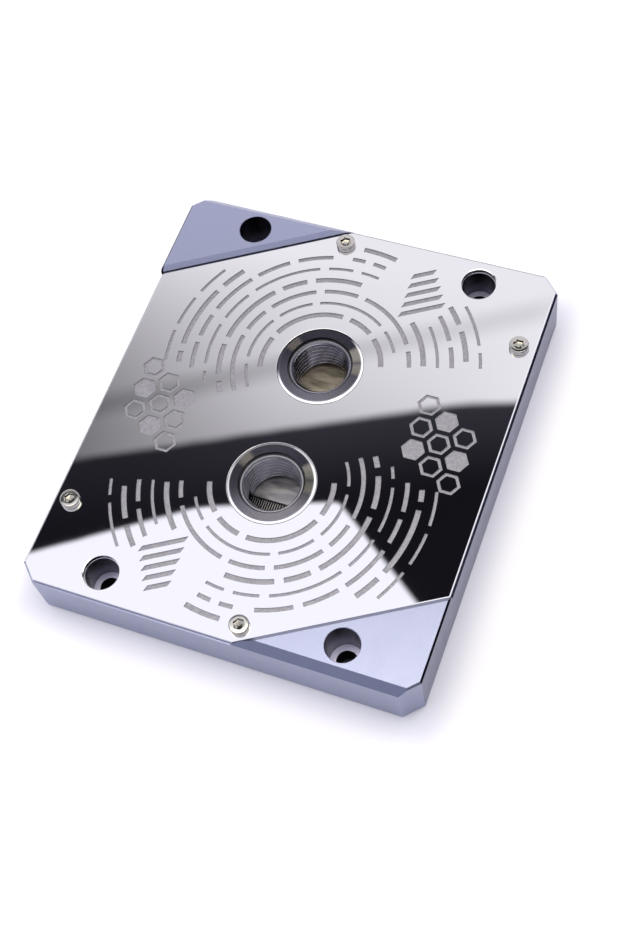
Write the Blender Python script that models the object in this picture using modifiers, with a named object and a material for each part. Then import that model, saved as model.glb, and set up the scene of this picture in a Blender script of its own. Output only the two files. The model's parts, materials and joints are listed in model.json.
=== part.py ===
"""CPU water block: milled aluminium frame, polished steel top plate, nickel-plated flow core and finned cold plate.

Metres, +Z up. The origin is the middle of the frame's footprint, at the level of the cold plate's contact face.
The two mounting blocks stand at the corners -X +Y and +X -Y, and everything repeats at half a turn about Z.
"""

from math import cos, pi, radians, sin, sqrt

import bmesh
import bpy
from mathutils import Vector

# Mounting holes, on the screw pattern of a common desktop processor socket
HOLE_SPACING_X = 0.054
HOLE_SPACING_Y = 0.090
COUNTERBORE_RADIUS = 0.0037
COUNTERBORE_DEPTH = 0.0095  # below the top of the corner blocks
MOUNT_HOLE_RADIUS = 0.0023
HOLE_MOUTH_BREAK = 0.0001

# Frame, as large as the hole pattern and its margins
HOLE_FROM_SIDE = 0.0174
HOLE_FROM_END = 0.0063
FRAME_WIDTH = HOLE_SPACING_X + 2 * HOLE_FROM_SIDE
FRAME_LENGTH = HOLE_SPACING_Y + 2 * HOLE_FROM_END
FRAME_HEIGHT = 0.0146
CORNER_CUT = 0.0037  # 45 degree cut down each upright corner
FRONT_CHAMFER = 0.0018  # along the front and back top edges
SIDE_BREAK = 0.0004  # small edge break on the other top edges
BASE_BREAK = 0.0003

# Corner blocks
BLOCK_LEG = 0.040  # along the front edge, from the frame's side to where the slanted wall starts
BLOCK_ANGLE = radians(30)  # slanted wall against the front edge
BLOCK_CHAMFER = 0.0009

# Top plate
PLATE_THICKNESS = 0.0008
PLATE_STEP = 0.0012  # top of the corner blocks above the plate's top
PLATE_INSET = 0.0004  # from the frame's sides
PLATE_BEVEL = 0.0002
PLATE_SEAM = 0.0002  # all round the plate, and under it
PLATE_HOLE_OVERSIZE = 0.00015

# Water chamber over the cold plate, which sets the size of the core and the cold plate
CHAMBER_WIDTH = 0.035
CHAMBER_LENGTH = 0.049
CHAMBER_CORNER = 0.002
RIM_WIDTH = 0.010  # round the chamber, for the seal and the screws

# Cold plate and fins
COLD_PLATE_PROUD = 0.0006  # contact face below the frame's underside
COLD_PLATE_THICKNESS = 0.0022
COLD_PLATE_CORNER = 0.004
CONTACT_FACE_BREAK = 0.0003
SIDE_CHANNEL = 0.003  # chamber wall to the fins, at the sides
END_CHANNEL = 0.0065  # chamber wall to the fins, at the ends
FIN_RISE = 0.0014  # fin tops above the cold plate's rim
FIN_PITCH = 0.00053
FIN_GAP = 0.00027
FIN_FLOOR = 0.0011  # copper left under the gaps
FIN_RUNOUT = 0.0025  # the cutter's run past each end of the fins

# Jet plate
JET_PLATE_THICKNESS = 0.0007
JET_SLOT_LENGTH = 0.025
JET_SLOT_WIDTH = 0.0015
JET_SLOT_CORNER = 0.0006

# Flow core
CORE_BODY_HEIGHT = 0.0065
INLET_ROOF = 0.001
INLET_WIDTH = 0.027
INLET_LENGTH = 0.006
INLET_CHANNEL_WIDTH = 0.012
OUTLET_HEIGHT = 0.0022
OUTLET_WIDTH = 0.020

# Ports, bored to the outer diameter of a G1/4 thread
PORT_SPACING = 0.030
PORT_RADIUS = 0.00658
PORT_LEDGE = 0.00069  # floor of the shallow recess round the bore
PORT_RECESS_DEPTH = 0.00055
RING_WIDTH = 0.00167  # flat ring face round the recess
RIM_SLOPE_WIDTH = 0.00066  # sloped rim round the ring face
RIM_SLOPE_HEIGHT = 0.0003  # ring face above the plate

# Seal between the flow core and the cold plate
SEAL_CORD = 0.0018
SEAL_FROM_CHAMBER = 0.0022  # cord centre outside the chamber wall
SEAL_CORNER = 0.0035

# Screws
PLATE_SCREW_EDGE = 0.0041  # screw axis from the frame's nearest side
PLATE_SCREW_FROM_BLOCK = 0.00305  # the front and back pair, from the slanted walls
PLATE_SCREW_FROM_END = 0.0197  # the side pair, from the frame's ends
PLATE_SCREW_RADIUS = 0.00125
PLATE_SCREW_GRIP = 0.004  # length of screw in the frame
PLATE_HEAD_RADIUS = 0.00215
PLATE_HEAD_HEIGHT = 0.0012
PLATE_HEAD_EDGE = 0.0002
PLATE_HEX_ACROSS = 0.0020
PLATE_HEX_DEPTH = 0.0008
HEAD_SEAT = 0.0001
SUNK_SCREW_RADIUS = 0.0015
SUNK_HEAD_RADIUS = 0.0028
SUNK_HEAD_RIM = 0.0002
SUNK_HEX_ACROSS = 0.0020
SUNK_HEX_DEPTH = 0.0010
SCREW_TIP = 0.0003
CORE_SCREW_INSET = 0.006  # screw axis from the core's side
CORE_SCREW_Y = 0.020
CORE_SCREW_GRIP = 0.0035  # length of screw in the core, from above
COLD_SCREW_INSET = 0.004  # screw axis from the cold plate's edge
COLD_SCREW_GRIP = 0.0037  # length of screw in the core, from below

FIT = 0.0003  # clearance where pieces seat, slide in or pass through
OVERCUT = 0.002  # how far a cutter runs past the face that it opens

PORT_STEPS = 60
HOLE_STEPS = 36
SCREW_STEPS = 24
SUNK_STEPS = 16
CORNER_STEPS = 4

# Levels, from the contact face up
FRAME_BASE = COLD_PLATE_PROUD
FRAME_TOP = FRAME_BASE + FRAME_HEIGHT
PLATE_TOP = FRAME_TOP - PLATE_STEP
PLATE_BASE = PLATE_TOP - PLATE_THICKNESS
RECESS_FLOOR = PLATE_BASE - PLATE_SEAM
FIN_TOP = COLD_PLATE_THICKNESS + FIN_RISE
JET_BASE = FIN_TOP + FIT
JET_TOP = JET_BASE + JET_PLATE_THICKNESS
CORE_BASE = COLD_PLATE_THICKNESS + FIT
CHAMBER_TOP = JET_TOP + FIT
CORE_BODY_TOP = CORE_BASE + CORE_BODY_HEIGHT
POCKET_TOP = CORE_BODY_TOP + FIT
BOSS_TOP = PLATE_TOP + RIM_SLOPE_HEIGHT
PORT_RECESS_FLOOR = BOSS_TOP - PORT_RECESS_DEPTH
COUNTERBORE_SEAT = FRAME_TOP - COUNTERBORE_DEPTH
CORE_SCREW_TOP = RECESS_FLOOR - HEAD_SEAT

# Sizes that follow from the others
CORE_WIDTH = CHAMBER_WIDTH + 2 * RIM_WIDTH
CORE_LENGTH = CHAMBER_LENGTH + 2 * RIM_WIDTH
FIN_FIELD_WIDTH = CHAMBER_WIDTH - 2 * SIDE_CHANNEL
FIN_FIELD_LENGTH = CHAMBER_LENGTH - 2 * END_CHANNEL
PORT_RECESS_RADIUS = PORT_RADIUS + PORT_LEDGE
RING_RADIUS = PORT_RECESS_RADIUS + RING_WIDTH
BOSS_RADIUS = RING_RADIUS + RIM_SLOPE_WIDTH
SEAL_WIDTH = CHAMBER_WIDTH + 2 * SEAL_FROM_CHAMBER
SEAL_LENGTH = CHAMBER_LENGTH + 2 * SEAL_FROM_CHAMBER
PLATE_SCREW_LENGTH = PLATE_TOP + HEAD_SEAT - RECESS_FLOOR + PLATE_SCREW_GRIP
CORE_SCREW_LENGTH = CORE_SCREW_TOP - CORE_BODY_TOP + CORE_SCREW_GRIP
COLD_SCREW_LENGTH = CORE_BASE - HEAD_SEAT + COLD_SCREW_GRIP

# Places
INLET_Y = PORT_SPACING / 2
OUTLET_Y = -PORT_SPACING / 2
PORTS = [(0, INLET_Y), (0, OUTLET_Y)]
JET_NEAR_EDGE = OUTLET_Y
BLOCK_NORMAL = Vector((sin(BLOCK_ANGLE), -cos(BLOCK_ANGLE), 0))
BLOCK_LINE = BLOCK_NORMAL.dot(Vector((FRAME_WIDTH / 2 - BLOCK_LEG, -FRAME_LENGTH / 2, 0)))
CORNER_LINE = (FRAME_WIDTH / 2 + FRAME_LENGTH / 2 - CORNER_CUT) / sqrt(2)


# Scene and materials


def empty_scene():
    for obj in list(bpy.data.objects):
        bpy.data.objects.remove(obj, do_unlink=True)


def new_collection(name):
    collection = bpy.data.collections.new(name)
    bpy.context.scene.collection.children.link(collection)
    return collection


def new_material(name, colour, metallic, roughness):
    material = bpy.data.materials.new(name)
    material.use_nodes = True
    surface = material.node_tree.nodes["Principled BSDF"]
    surface.inputs["Base Color"].default_value = (*colour, 1.0)
    surface.inputs["Metallic"].default_value = metallic
    surface.inputs["Roughness"].default_value = roughness
    return material


empty_scene()
PARTS = new_collection("cpu_water_block")
CUTTERS = new_collection("cutters")

ANODISED = new_material("anodised_aluminium", (0.33, 0.36, 0.52), 0.7, 0.42)
POLISHED = new_material("polished_steel", (0.80, 0.80, 0.82), 1.0, 0.05)
NICKEL = new_material("nickel_plated_brass", (0.52, 0.50, 0.48), 1.0, 0.25)
PLATED_COPPER = new_material("nickel_plated_copper", (0.60, 0.58, 0.56), 1.0, 0.22)
STEEL = new_material("stainless_steel", (0.60, 0.60, 0.60), 1.0, 0.25)
RUBBER = new_material("black_rubber", (0.02, 0.02, 0.02), 0.0, 0.6)


# Shape helpers


def as_part(obj, material):
    """Puts the object among the parts, with its one material."""
    PARTS.objects.link(obj)
    obj.data.materials.clear()
    obj.data.materials.append(material)
    return obj


def as_cutter(obj):
    CUTTERS.objects.link(obj)
    obj.hide_render = True
    obj.display_type = "WIRE"
    return obj


def from_bmesh(name, bm):
    """The object made from a closed bmesh, with its faces turned outwards."""
    bmesh.ops.recalc_face_normals(bm, faces=bm.faces)
    mesh = bpy.data.meshes.new(name)
    bm.to_mesh(mesh)
    bm.free()
    return bpy.data.objects.new(name, mesh)


def box(low, high):
    """A bmesh box between two opposite corners."""
    low, high = Vector(low), Vector(high)
    bm = bmesh.new()
    bmesh.ops.create_cube(bm, size=1.0)
    bmesh.ops.scale(bm, vec=high - low, verts=bm.verts)
    bmesh.ops.translate(bm, vec=(low + high) / 2, verts=bm.verts)
    return bm


def centred_box(width, length, base, top):
    return box((-width / 2, -length / 2, base), (width / 2, length / 2, top))


def is_upright(edge):
    first, second = edge.verts
    return (first.co.xy - second.co.xy).length < 1e-7


def bevel(bm, edges, width, segments=1):
    bmesh.ops.bevel(
        bm, geom=edges, offset=width, offset_type="OFFSET", segments=segments, profile=0.5, affect="EDGES"
    )


def round_uprights(bm, radius):
    bevel(bm, [edge for edge in bm.edges if is_upright(edge)], radius, CORNER_STEPS)


def plane_cut(bm, distance, normal):
    """Takes away what lies further than distance from the origin along normal, and closes the cut."""
    normal = Vector(normal).normalized()
    everything = bm.verts[:] + bm.edges[:] + bm.faces[:]
    cut = bmesh.ops.bisect_plane(
        bm, geom=everything, plane_co=normal * distance, plane_no=normal, clear_outer=True
    )
    bmesh.ops.contextual_create(bm, geom=[item for item in cut["geom_cut"] if isinstance(item, bmesh.types.BMEdge)])


def level_edges(bm, height):
    """The edges that lie flat at a height."""
    return [edge for edge in bm.edges if all(abs(vert.co.z - height) < 1e-7 for vert in edge.verts)]


def turned(name, profile, steps, start=0.0):
    """A solid of revolution about Z. The profile lists radius and height from the top of the axis to its foot.

    It starts at an angle from X. Half a step there keeps a bore's facets off those of the boss round it.
    """
    mesh = bpy.data.meshes.new(name)
    mesh.from_pydata(
        [(radius * cos(start), radius * sin(start), height) for radius, height in profile],
        [(index, index + 1) for index in range(len(profile) - 1)],
        [],
    )
    obj = bpy.data.objects.new(name, mesh)
    screw = obj.modifiers.new("Turn", "SCREW")
    screw.steps = screw.render_steps = steps
    screw.use_merge_vertices = True
    screw.merge_threshold = 1e-5
    return obj


def boolean(target, other, operation):
    modifier = target.modifiers.new(f"{operation.title()} {other.name}", "BOOLEAN")
    modifier.operation = operation
    modifier.object = other


def cut(target, cutters):
    for cutter in cutters:
        boolean(target, cutter, "DIFFERENCE")


def finished_mesh(obj):
    """The object's mesh with its modifiers applied, for copies to share."""
    bpy.context.view_layer.update()
    graph = bpy.context.evaluated_depsgraph_get()
    mesh = bpy.data.meshes.new_from_object(obj.evaluated_get(graph))
    mesh.name = obj.name
    return mesh


def shade(obj, angle=radians(35)):
    """Smooth shading on round faces, with edges over the angle left sharp."""
    obj.data.shade_smooth()
    obj.data.set_sharp_from_angle(angle=angle)


def half_turn(points):
    """Each point and its copy at half a turn about Z."""
    return [place for x, y in points for place in ((x, y), (-x, -y))]


def four_corners(x, y):
    return [(-x, -y), (x, -y), (x, y), (-x, y)]


# Places of the holes and screws

BLOCK_HOLES = half_turn([(HOLE_SPACING_X / 2, -HOLE_SPACING_Y / 2)])
PLATE_HOLES = half_turn([(HOLE_SPACING_X / 2, HOLE_SPACING_Y / 2)])
END_SCREW_Y = PLATE_SCREW_EDGE - FRAME_LENGTH / 2
END_SCREW_X = (BLOCK_LINE - PLATE_SCREW_FROM_BLOCK - BLOCK_NORMAL.y * END_SCREW_Y) / BLOCK_NORMAL.x
SIDE_SCREW_X = FRAME_WIDTH / 2 - PLATE_SCREW_EDGE
SIDE_SCREW_Y = FRAME_LENGTH / 2 - PLATE_SCREW_FROM_END
PLATE_SCREWS = half_turn([(END_SCREW_X, END_SCREW_Y), (SIDE_SCREW_X, SIDE_SCREW_Y)])
CORE_SCREWS = four_corners(CORE_WIDTH / 2 - CORE_SCREW_INSET, CORE_SCREW_Y)
COLD_SCREW_X = CORE_WIDTH / 2 - COLD_SCREW_INSET
COLD_SCREW_Y = CORE_LENGTH / 2 - COLD_SCREW_INSET
COLD_SCREWS = [*four_corners(COLD_SCREW_X, COLD_SCREW_Y), *half_turn([(COLD_SCREW_X, 0), (0, COLD_SCREW_Y)])]


# Screws and the holes that they need


def hex_socket(across, depth, head_top):
    """A six-sided cutter that opens a socket down from the top of a head."""
    bm = bmesh.new()
    bmesh.ops.create_cone(
        bm,
        cap_ends=True,
        segments=6,
        radius1=across / sqrt(3),
        radius2=across / sqrt(3),
        depth=depth + OVERCUT,
    )
    bmesh.ops.translate(bm, vec=(0, 0, head_top + (OVERCUT - depth) / 2), verts=bm.verts)
    return as_cutter(from_bmesh("hex_socket_cutter", bm))


def screw_mesh(name, profile, steps, across, hex_depth):
    """A turned screw with a hexagon socket, its head's top at the profile's first height."""
    blank = as_cutter(turned(name, profile, steps, pi / steps))
    boolean(blank, hex_socket(across, hex_depth, profile[0][1]), "DIFFERENCE")
    return finished_mesh(blank)


def plate_screw_profile():
    shank, head = PLATE_SCREW_RADIUS, PLATE_HEAD_RADIUS
    return [
        (0, PLATE_HEAD_HEIGHT),
        (head - PLATE_HEAD_EDGE, PLATE_HEAD_HEIGHT),
        (head, PLATE_HEAD_HEIGHT - PLATE_HEAD_EDGE),
        (head, 0),
        (shank, 0),
        (shank, SCREW_TIP - PLATE_SCREW_LENGTH),
        (shank - SCREW_TIP, -PLATE_SCREW_LENGTH),
        (0, -PLATE_SCREW_LENGTH),
    ]


def sunk_screw_profile(length):
    shank, head = SUNK_SCREW_RADIUS, SUNK_HEAD_RADIUS
    return [
        (0, 0),
        (head, 0),
        (head, -SUNK_HEAD_RIM),
        (shank, -SUNK_HEAD_RIM - (head - shank)),
        (shank, SCREW_TIP - length),
        (shank - SCREW_TIP, -length),
        (0, -length),
    ]


def sunk_hole(name, length):
    """The countersunk hole round such a screw, wider by the fit all round."""
    shank, head = SUNK_SCREW_RADIUS + FIT, SUNK_HEAD_RADIUS + FIT
    return turned(
        name,
        [
            (0, OVERCUT),
            (head, OVERCUT),
            (head, -SUNK_HEAD_RIM - FIT),
            (shank, -SUNK_HEAD_RIM - FIT - (head - shank)),
            (shank, -length - FIT),
            (0, -length - FIT),
        ],
        SUNK_STEPS,
    )


def place(obj, x, y, z, upside_down=False):
    obj.location = (x, y, z)
    if upside_down:
        obj.rotation_euler = (pi, 0, 0)
    return obj


def screws(name, mesh, places, z, upside_down=False):
    """One numbered screw at each place, all sharing a mesh."""
    for number, (x, y) in enumerate(places, 1):
        screw = as_part(bpy.data.objects.new(f"{name}_{number}", mesh), STEEL)
        place(screw, x, y, z, upside_down)


def hole_cutters(name, places, z, make, upside_down=False):
    return [
        as_cutter(place(make(f"{name}_hole_{number}"), x, y, z, upside_down))
        for number, (x, y) in enumerate(places, 1)
    ]


# Frame


def frame_blank():
    """The milled block: wide front and back chamfers, cut corners and small edge breaks."""
    bm = centred_box(FRAME_WIDTH, FRAME_LENGTH, FRAME_BASE, FRAME_TOP)
    chamfer_line = (FRAME_LENGTH / 2 + FRAME_TOP - FRONT_CHAMFER) / sqrt(2)
    for side in (-1, 1):
        plane_cut(bm, chamfer_line, (0, side, 1))
    for x, y in four_corners(1, 1):
        plane_cut(bm, CORNER_LINE, (x, y, 0))
    sloped = [face for face in bm.faces if 0.1 < abs(face.normal.z) < 0.9]
    breaks = [edge for edge in level_edges(bm, FRAME_TOP) if not any(face in sloped for face in edge.link_faces)]
    bevel(bm, breaks, SIDE_BREAK)
    bevel(bm, level_edges(bm, FRAME_BASE), BASE_BREAK)
    return bm


def recess_cutter():
    """The space that holds the plate, open at the frame's edges and stopped by the two slanted walls."""
    bm = centred_box(FRAME_WIDTH + 2 * OVERCUT, FRAME_LENGTH + 2 * OVERCUT, RECESS_FLOOR, FRAME_TOP + OVERCUT)
    for side in (-1, 1):
        plane_cut(bm, BLOCK_LINE + PLATE_SEAM, BLOCK_NORMAL * side)
    return as_cutter(from_bmesh("recess_cutter", bm))


def block_chamfer_cutter():
    """The 45 degree chamfer along the top of both slanted walls."""
    bm = centred_box(FRAME_WIDTH + 2 * OVERCUT, FRAME_LENGTH + 2 * OVERCUT, RECESS_FLOOR, FRAME_TOP + OVERCUT)
    slope_line = (BLOCK_LINE + PLATE_SEAM + BLOCK_CHAMFER - FRAME_TOP) / sqrt(2)
    for side in (-1, 1):
        plane_cut(bm, slope_line, BLOCK_NORMAL * side - Vector((0, 0, 1)))
    return as_cutter(from_bmesh("block_chamfer_cutter", bm))


def pocket_cutter():
    """The pocket under the frame that takes the flow core and the cold plate."""
    bm = centred_box(CORE_WIDTH + 2 * FIT, CORE_LENGTH + 2 * FIT, FRAME_BASE - OVERCUT, POCKET_TOP)
    round_uprights(bm, COLD_PLATE_CORNER + FIT)
    return as_cutter(from_bmesh("pocket_cutter", bm))


def counterbore(name, mouth):
    """A mounting hole with its counterbore, from a mouth at the given level."""
    edge = COUNTERBORE_RADIUS + HOLE_MOUTH_BREAK
    return turned(
        name,
        [
            (0, mouth + OVERCUT),
            (edge + OVERCUT, mouth + OVERCUT),
            (COUNTERBORE_RADIUS, mouth - HOLE_MOUTH_BREAK),
            (COUNTERBORE_RADIUS, COUNTERBORE_SEAT),
            (MOUNT_HOLE_RADIUS, COUNTERBORE_SEAT),
            (MOUNT_HOLE_RADIUS, FRAME_BASE - OVERCUT),
            (0, FRAME_BASE - OVERCUT),
        ],
        HOLE_STEPS,
    )


def boss_hole(name):
    """The hole through the frame's web for a port boss."""
    radius = BOSS_RADIUS + FIT
    top, base = RECESS_FLOOR + OVERCUT, POCKET_TOP - OVERCUT
    return turned(name, [(0, top), (radius, top), (radius, base), (0, base)], PORT_STEPS)


def tapped_hole(name):
    """The hole in the frame under a plate screw."""
    radius = PLATE_SCREW_RADIUS + FIT
    base = -PLATE_SCREW_LENGTH - FIT
    return turned(name, [(0, OVERCUT), (radius, OVERCUT), (radius, base), (0, base)], SUNK_STEPS)


def make_frame():
    frame = as_part(from_bmesh("frame_body", frame_blank()), ANODISED)
    cut(frame, [recess_cutter(), block_chamfer_cutter(), pocket_cutter()])
    cut(frame, hole_cutters("block_mount", BLOCK_HOLES, 0, lambda name: counterbore(name, FRAME_TOP)))
    cut(frame, hole_cutters("plate_mount", PLATE_HOLES, 0, lambda name: counterbore(name, RECESS_FLOOR)))
    cut(frame, hole_cutters("boss", PORTS, 0, boss_hole))
    cut(frame, hole_cutters("plate_screw", PLATE_SCREWS, PLATE_TOP, tapped_hole))
    cut(frame, CORE_SCREW_CUTTERS)
    return frame


# Top plate


def plate_blank():
    """The plate's outline: the frame's, drawn in by the inset, less the two corner blocks."""
    bm = centred_box(FRAME_WIDTH - 2 * PLATE_INSET, FRAME_LENGTH - 2 * PLATE_INSET, PLATE_BASE, PLATE_TOP)
    for side in (-1, 1):
        plane_cut(bm, BLOCK_LINE, BLOCK_NORMAL * side)
        plane_cut(bm, CORNER_LINE - PLATE_INSET, (side, side, 0))
    bevel(bm, level_edges(bm, PLATE_TOP), PLATE_BEVEL)
    return bm


def plate_hole(name, radius, steps):
    """A hole through the plate, with the plate's bevel round its mouth."""
    return turned(
        name,
        [
            (0, PLATE_TOP + OVERCUT),
            (radius + PLATE_BEVEL + OVERCUT, PLATE_TOP + OVERCUT),
            (radius, PLATE_TOP - PLATE_BEVEL),
            (radius, PLATE_BASE - OVERCUT),
            (0, PLATE_BASE - OVERCUT),
        ],
        steps,
    )


def make_top_plate():
    plate = as_part(from_bmesh("top_plate", plate_blank()), POLISHED)
    mount_radius = COUNTERBORE_RADIUS + PLATE_HOLE_OVERSIZE
    boss_radius = BOSS_RADIUS + PLATE_SEAM
    cut(plate, hole_cutters("over_mount", PLATE_HOLES, 0, lambda name: plate_hole(name, mount_radius, HOLE_STEPS)))
    cut(plate, hole_cutters("over_boss", PORTS, 0, lambda name: plate_hole(name, boss_radius, PORT_STEPS)))
    cut(plate, hole_cutters("through_plate", PLATE_SCREWS, PLATE_TOP, tapped_hole))
    return plate


# Flow core


def rounded_block(name, width, length, base, top, corner):
    bm = centred_box(width, length, base, top)
    round_uprights(bm, corner)
    return from_bmesh(name, bm)


def boss(name):
    """A port boss, with its flat ring face and sloped rim, sunk into the body below."""
    return turned(
        name,
        [
            (0, BOSS_TOP),
            (RING_RADIUS, BOSS_TOP),
            (BOSS_RADIUS, PLATE_TOP),
            (BOSS_RADIUS, CORE_BODY_TOP - OVERCUT),
            (0, CORE_BODY_TOP - OVERCUT),
        ],
        PORT_STEPS,
    )


def port_bore(name):
    """The port: a shallow recess for the fitting's seal, then the bore down into the chamber."""
    base = CHAMBER_TOP - FIT
    return turned(
        name,
        [
            (0, BOSS_TOP + OVERCUT),
            (PORT_RECESS_RADIUS, BOSS_TOP + OVERCUT),
            (PORT_RECESS_RADIUS, PORT_RECESS_FLOOR),
            (PORT_RADIUS, PORT_RECESS_FLOOR),
            (PORT_RADIUS, base),
            (0, base),
        ],
        PORT_STEPS,
        pi / PORT_STEPS,
    )


def water_ways():
    """The chamber over the fins, the inlet chamber over the jet slot and the outlet slot past the jet plate."""
    chamber = rounded_block(
        "chamber_cutter", CHAMBER_WIDTH, CHAMBER_LENGTH, CORE_BASE - OVERCUT, CHAMBER_TOP, CHAMBER_CORNER
    )
    below = CHAMBER_TOP - FIT
    inlet_top = CORE_BODY_TOP - INLET_ROOF
    inlet = centred_box(INLET_WIDTH, INLET_LENGTH, below, inlet_top)
    channel = box((-INLET_CHANNEL_WIDTH / 2, 0, below), (INLET_CHANNEL_WIDTH / 2, INLET_Y, inlet_top))
    outlet = box(
        (-OUTLET_WIDTH / 2, -CHAMBER_LENGTH / 2, below),
        (OUTLET_WIDTH / 2, JET_NEAR_EDGE, CHAMBER_TOP + OUTLET_HEIGHT),
    )
    ways = [
        chamber,
        from_bmesh("inlet_cutter", inlet),
        from_bmesh("inlet_channel_cutter", channel),
        from_bmesh("outlet_cutter", outlet),
    ]
    return [as_cutter(way) for way in ways]


def groove_cutter():
    """The seal's groove: a block round the cord's outside, less one round its inside."""
    half = SEAL_CORD / 2 + FIT
    top = COLD_PLATE_THICKNESS + SEAL_CORD + 2 * FIT
    base = CORE_BASE - OVERCUT
    outer = rounded_block(
        "groove_cutter",
        SEAL_WIDTH + 2 * half,
        SEAL_LENGTH + 2 * half,
        base,
        top,
        SEAL_CORNER + half,
    )
    inner = rounded_block(
        "groove_island",
        SEAL_WIDTH - 2 * half,
        SEAL_LENGTH - 2 * half,
        base - OVERCUT,
        top + OVERCUT,
        SEAL_CORNER - half,
    )
    boolean(outer, as_cutter(inner), "DIFFERENCE")
    return as_cutter(outer)


def make_flow_core():
    core = rounded_block("flow_core", CORE_WIDTH, CORE_LENGTH, CORE_BASE, CORE_BODY_TOP, COLD_PLATE_CORNER)
    as_part(core, NICKEL)
    for solid in hole_cutters("port_boss", PORTS, 0, boss):
        boolean(core, solid, "UNION")
    cut(core, hole_cutters("port_bore", PORTS, 0, port_bore))
    cut(core, water_ways())
    cut(core, [groove_cutter()])
    cut(core, CORE_SCREW_CUTTERS)
    cut(core, COLD_SCREW_CUTTERS)
    return core


# Cold plate, jet plate and seal


def fin_gap_cutters():
    """A row of thin blades, one for each gap between fins, joined in one mesh."""
    count = int((FIN_FIELD_WIDTH - (FIN_PITCH - FIN_GAP)) / FIN_PITCH)
    blades = bmesh.new()
    bmesh.ops.create_cube(blades, size=1.0)
    length = FIN_FIELD_LENGTH + 2 * FIN_RUNOUT
    height = FIN_TOP + OVERCUT - FIN_FLOOR
    bmesh.ops.scale(blades, vec=(FIN_GAP, length, height), verts=blades.verts)
    bmesh.ops.translate(blades, vec=(0, 0, FIN_FLOOR + height / 2), verts=blades.verts)
    first = blades.verts[:] + blades.edges[:] + blades.faces[:]
    bmesh.ops.translate(blades, vec=(-(count - 1) * FIN_PITCH / 2, 0, 0), verts=blades.verts)
    for number in range(1, count):
        copy = bmesh.ops.duplicate(blades, geom=first)["geom"]
        verts = [item for item in copy if isinstance(item, bmesh.types.BMVert)]
        bmesh.ops.translate(blades, vec=(number * FIN_PITCH, 0, 0), verts=verts)
    return as_cutter(from_bmesh("fin_gap_cutter", blades))


def make_cold_plate():
    bm = centred_box(CORE_WIDTH, CORE_LENGTH, 0, COLD_PLATE_THICKNESS)
    round_uprights(bm, COLD_PLATE_CORNER)
    bevel(bm, level_edges(bm, 0), CONTACT_FACE_BREAK)
    plate = as_part(from_bmesh("cold_plate", bm), PLATED_COPPER)
    field = centred_box(FIN_FIELD_WIDTH, FIN_FIELD_LENGTH, COLD_PLATE_THICKNESS / 2, FIN_TOP)
    boolean(plate, as_cutter(from_bmesh("fin_field", field)), "UNION")
    cut(plate, [fin_gap_cutters()])
    cut(plate, COLD_SCREW_CUTTERS)
    return plate


def make_jet_plate():
    """The plate that closes the inlet chamber over the fins, with the jet slot across their middle."""
    half_width = CHAMBER_WIDTH / 2 - FIT
    bm = box((-half_width, JET_NEAR_EDGE, JET_BASE), (half_width, CHAMBER_LENGTH / 2 - FIT, JET_TOP))
    far_corners = [edge for edge in bm.edges if is_upright(edge) and edge.verts[0].co.y > 0]
    bevel(bm, far_corners, CHAMBER_CORNER, CORNER_STEPS)
    plate = as_part(from_bmesh("jet_plate", bm), STEEL)
    slot = rounded_block(
        "jet_slot_cutter",
        JET_SLOT_LENGTH,
        JET_SLOT_WIDTH,
        JET_BASE - OVERCUT,
        JET_TOP + OVERCUT,
        JET_SLOT_CORNER,
    )
    cut(plate, [as_cutter(slot)])
    return plate


def rounded_loop(width, length, corner, steps):
    """Points round a rectangle with round corners: an arc of steps points about each corner's centre."""
    points = []
    for turn, (x, y) in enumerate(((1, 1), (-1, 1), (-1, -1), (1, -1))):
        centre_x = x * (width / 2 - corner)
        centre_y = y * (length / 2 - corner)
        for step in range(steps + 1):
            angle = pi / 2 * (turn + step / steps)
            points.append((centre_x + corner * cos(angle), centre_y + corner * sin(angle)))
    return points


def make_seal():
    """The rubber cord, laid in a loop round the chamber on the cold plate's rim."""
    points = rounded_loop(SEAL_WIDTH, SEAL_LENGTH, SEAL_CORNER, 2 * CORNER_STEPS)
    height = COLD_PLATE_THICKNESS + FIT + SEAL_CORD / 2
    curve = bpy.data.curves.new("cold_plate_seal", "CURVE")
    curve.dimensions = "3D"
    curve.bevel_depth = SEAL_CORD / 2
    curve.bevel_resolution = 2
    spline = curve.splines.new("POLY")
    spline.points.add(len(points) - 1)
    for point, (x, y) in zip(spline.points, points):
        point.co = (x, y, height, 1)
    spline.use_cyclic_u = True
    return as_part(bpy.data.objects.new("cold_plate_seal", curve), RUBBER)


# Assembly

CORE_SCREW_CUTTERS = hole_cutters(
    "core_screw", CORE_SCREWS, CORE_SCREW_TOP, lambda name: sunk_hole(name, CORE_SCREW_LENGTH)
)
COLD_SCREW_CUTTERS = hole_cutters(
    "cold_screw", COLD_SCREWS, HEAD_SEAT, lambda name: sunk_hole(name, COLD_SCREW_LENGTH), upside_down=True
)

frame_body = make_frame()
top_plate = make_top_plate()
flow_core = make_flow_core()
cold_plate = make_cold_plate()
jet_plate = make_jet_plate()
seal = make_seal()

screws(
    "plate_screw",
    screw_mesh("plate_screw", plate_screw_profile(), SCREW_STEPS, PLATE_HEX_ACROSS, PLATE_HEX_DEPTH),
    PLATE_SCREWS,
    PLATE_TOP + HEAD_SEAT,
)
screws(
    "core_screw",
    screw_mesh("core_screw", sunk_screw_profile(CORE_SCREW_LENGTH), SUNK_STEPS, SUNK_HEX_ACROSS, SUNK_HEX_DEPTH),
    CORE_SCREWS,
    CORE_SCREW_TOP,
)
screws(
    "cold_plate_screw",
    screw_mesh("cold_screw", sunk_screw_profile(COLD_SCREW_LENGTH), SUNK_STEPS, SUNK_HEX_ACROSS, SUNK_HEX_DEPTH),
    COLD_SCREWS,
    HEAD_SEAT,
    upside_down=True,
)

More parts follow.
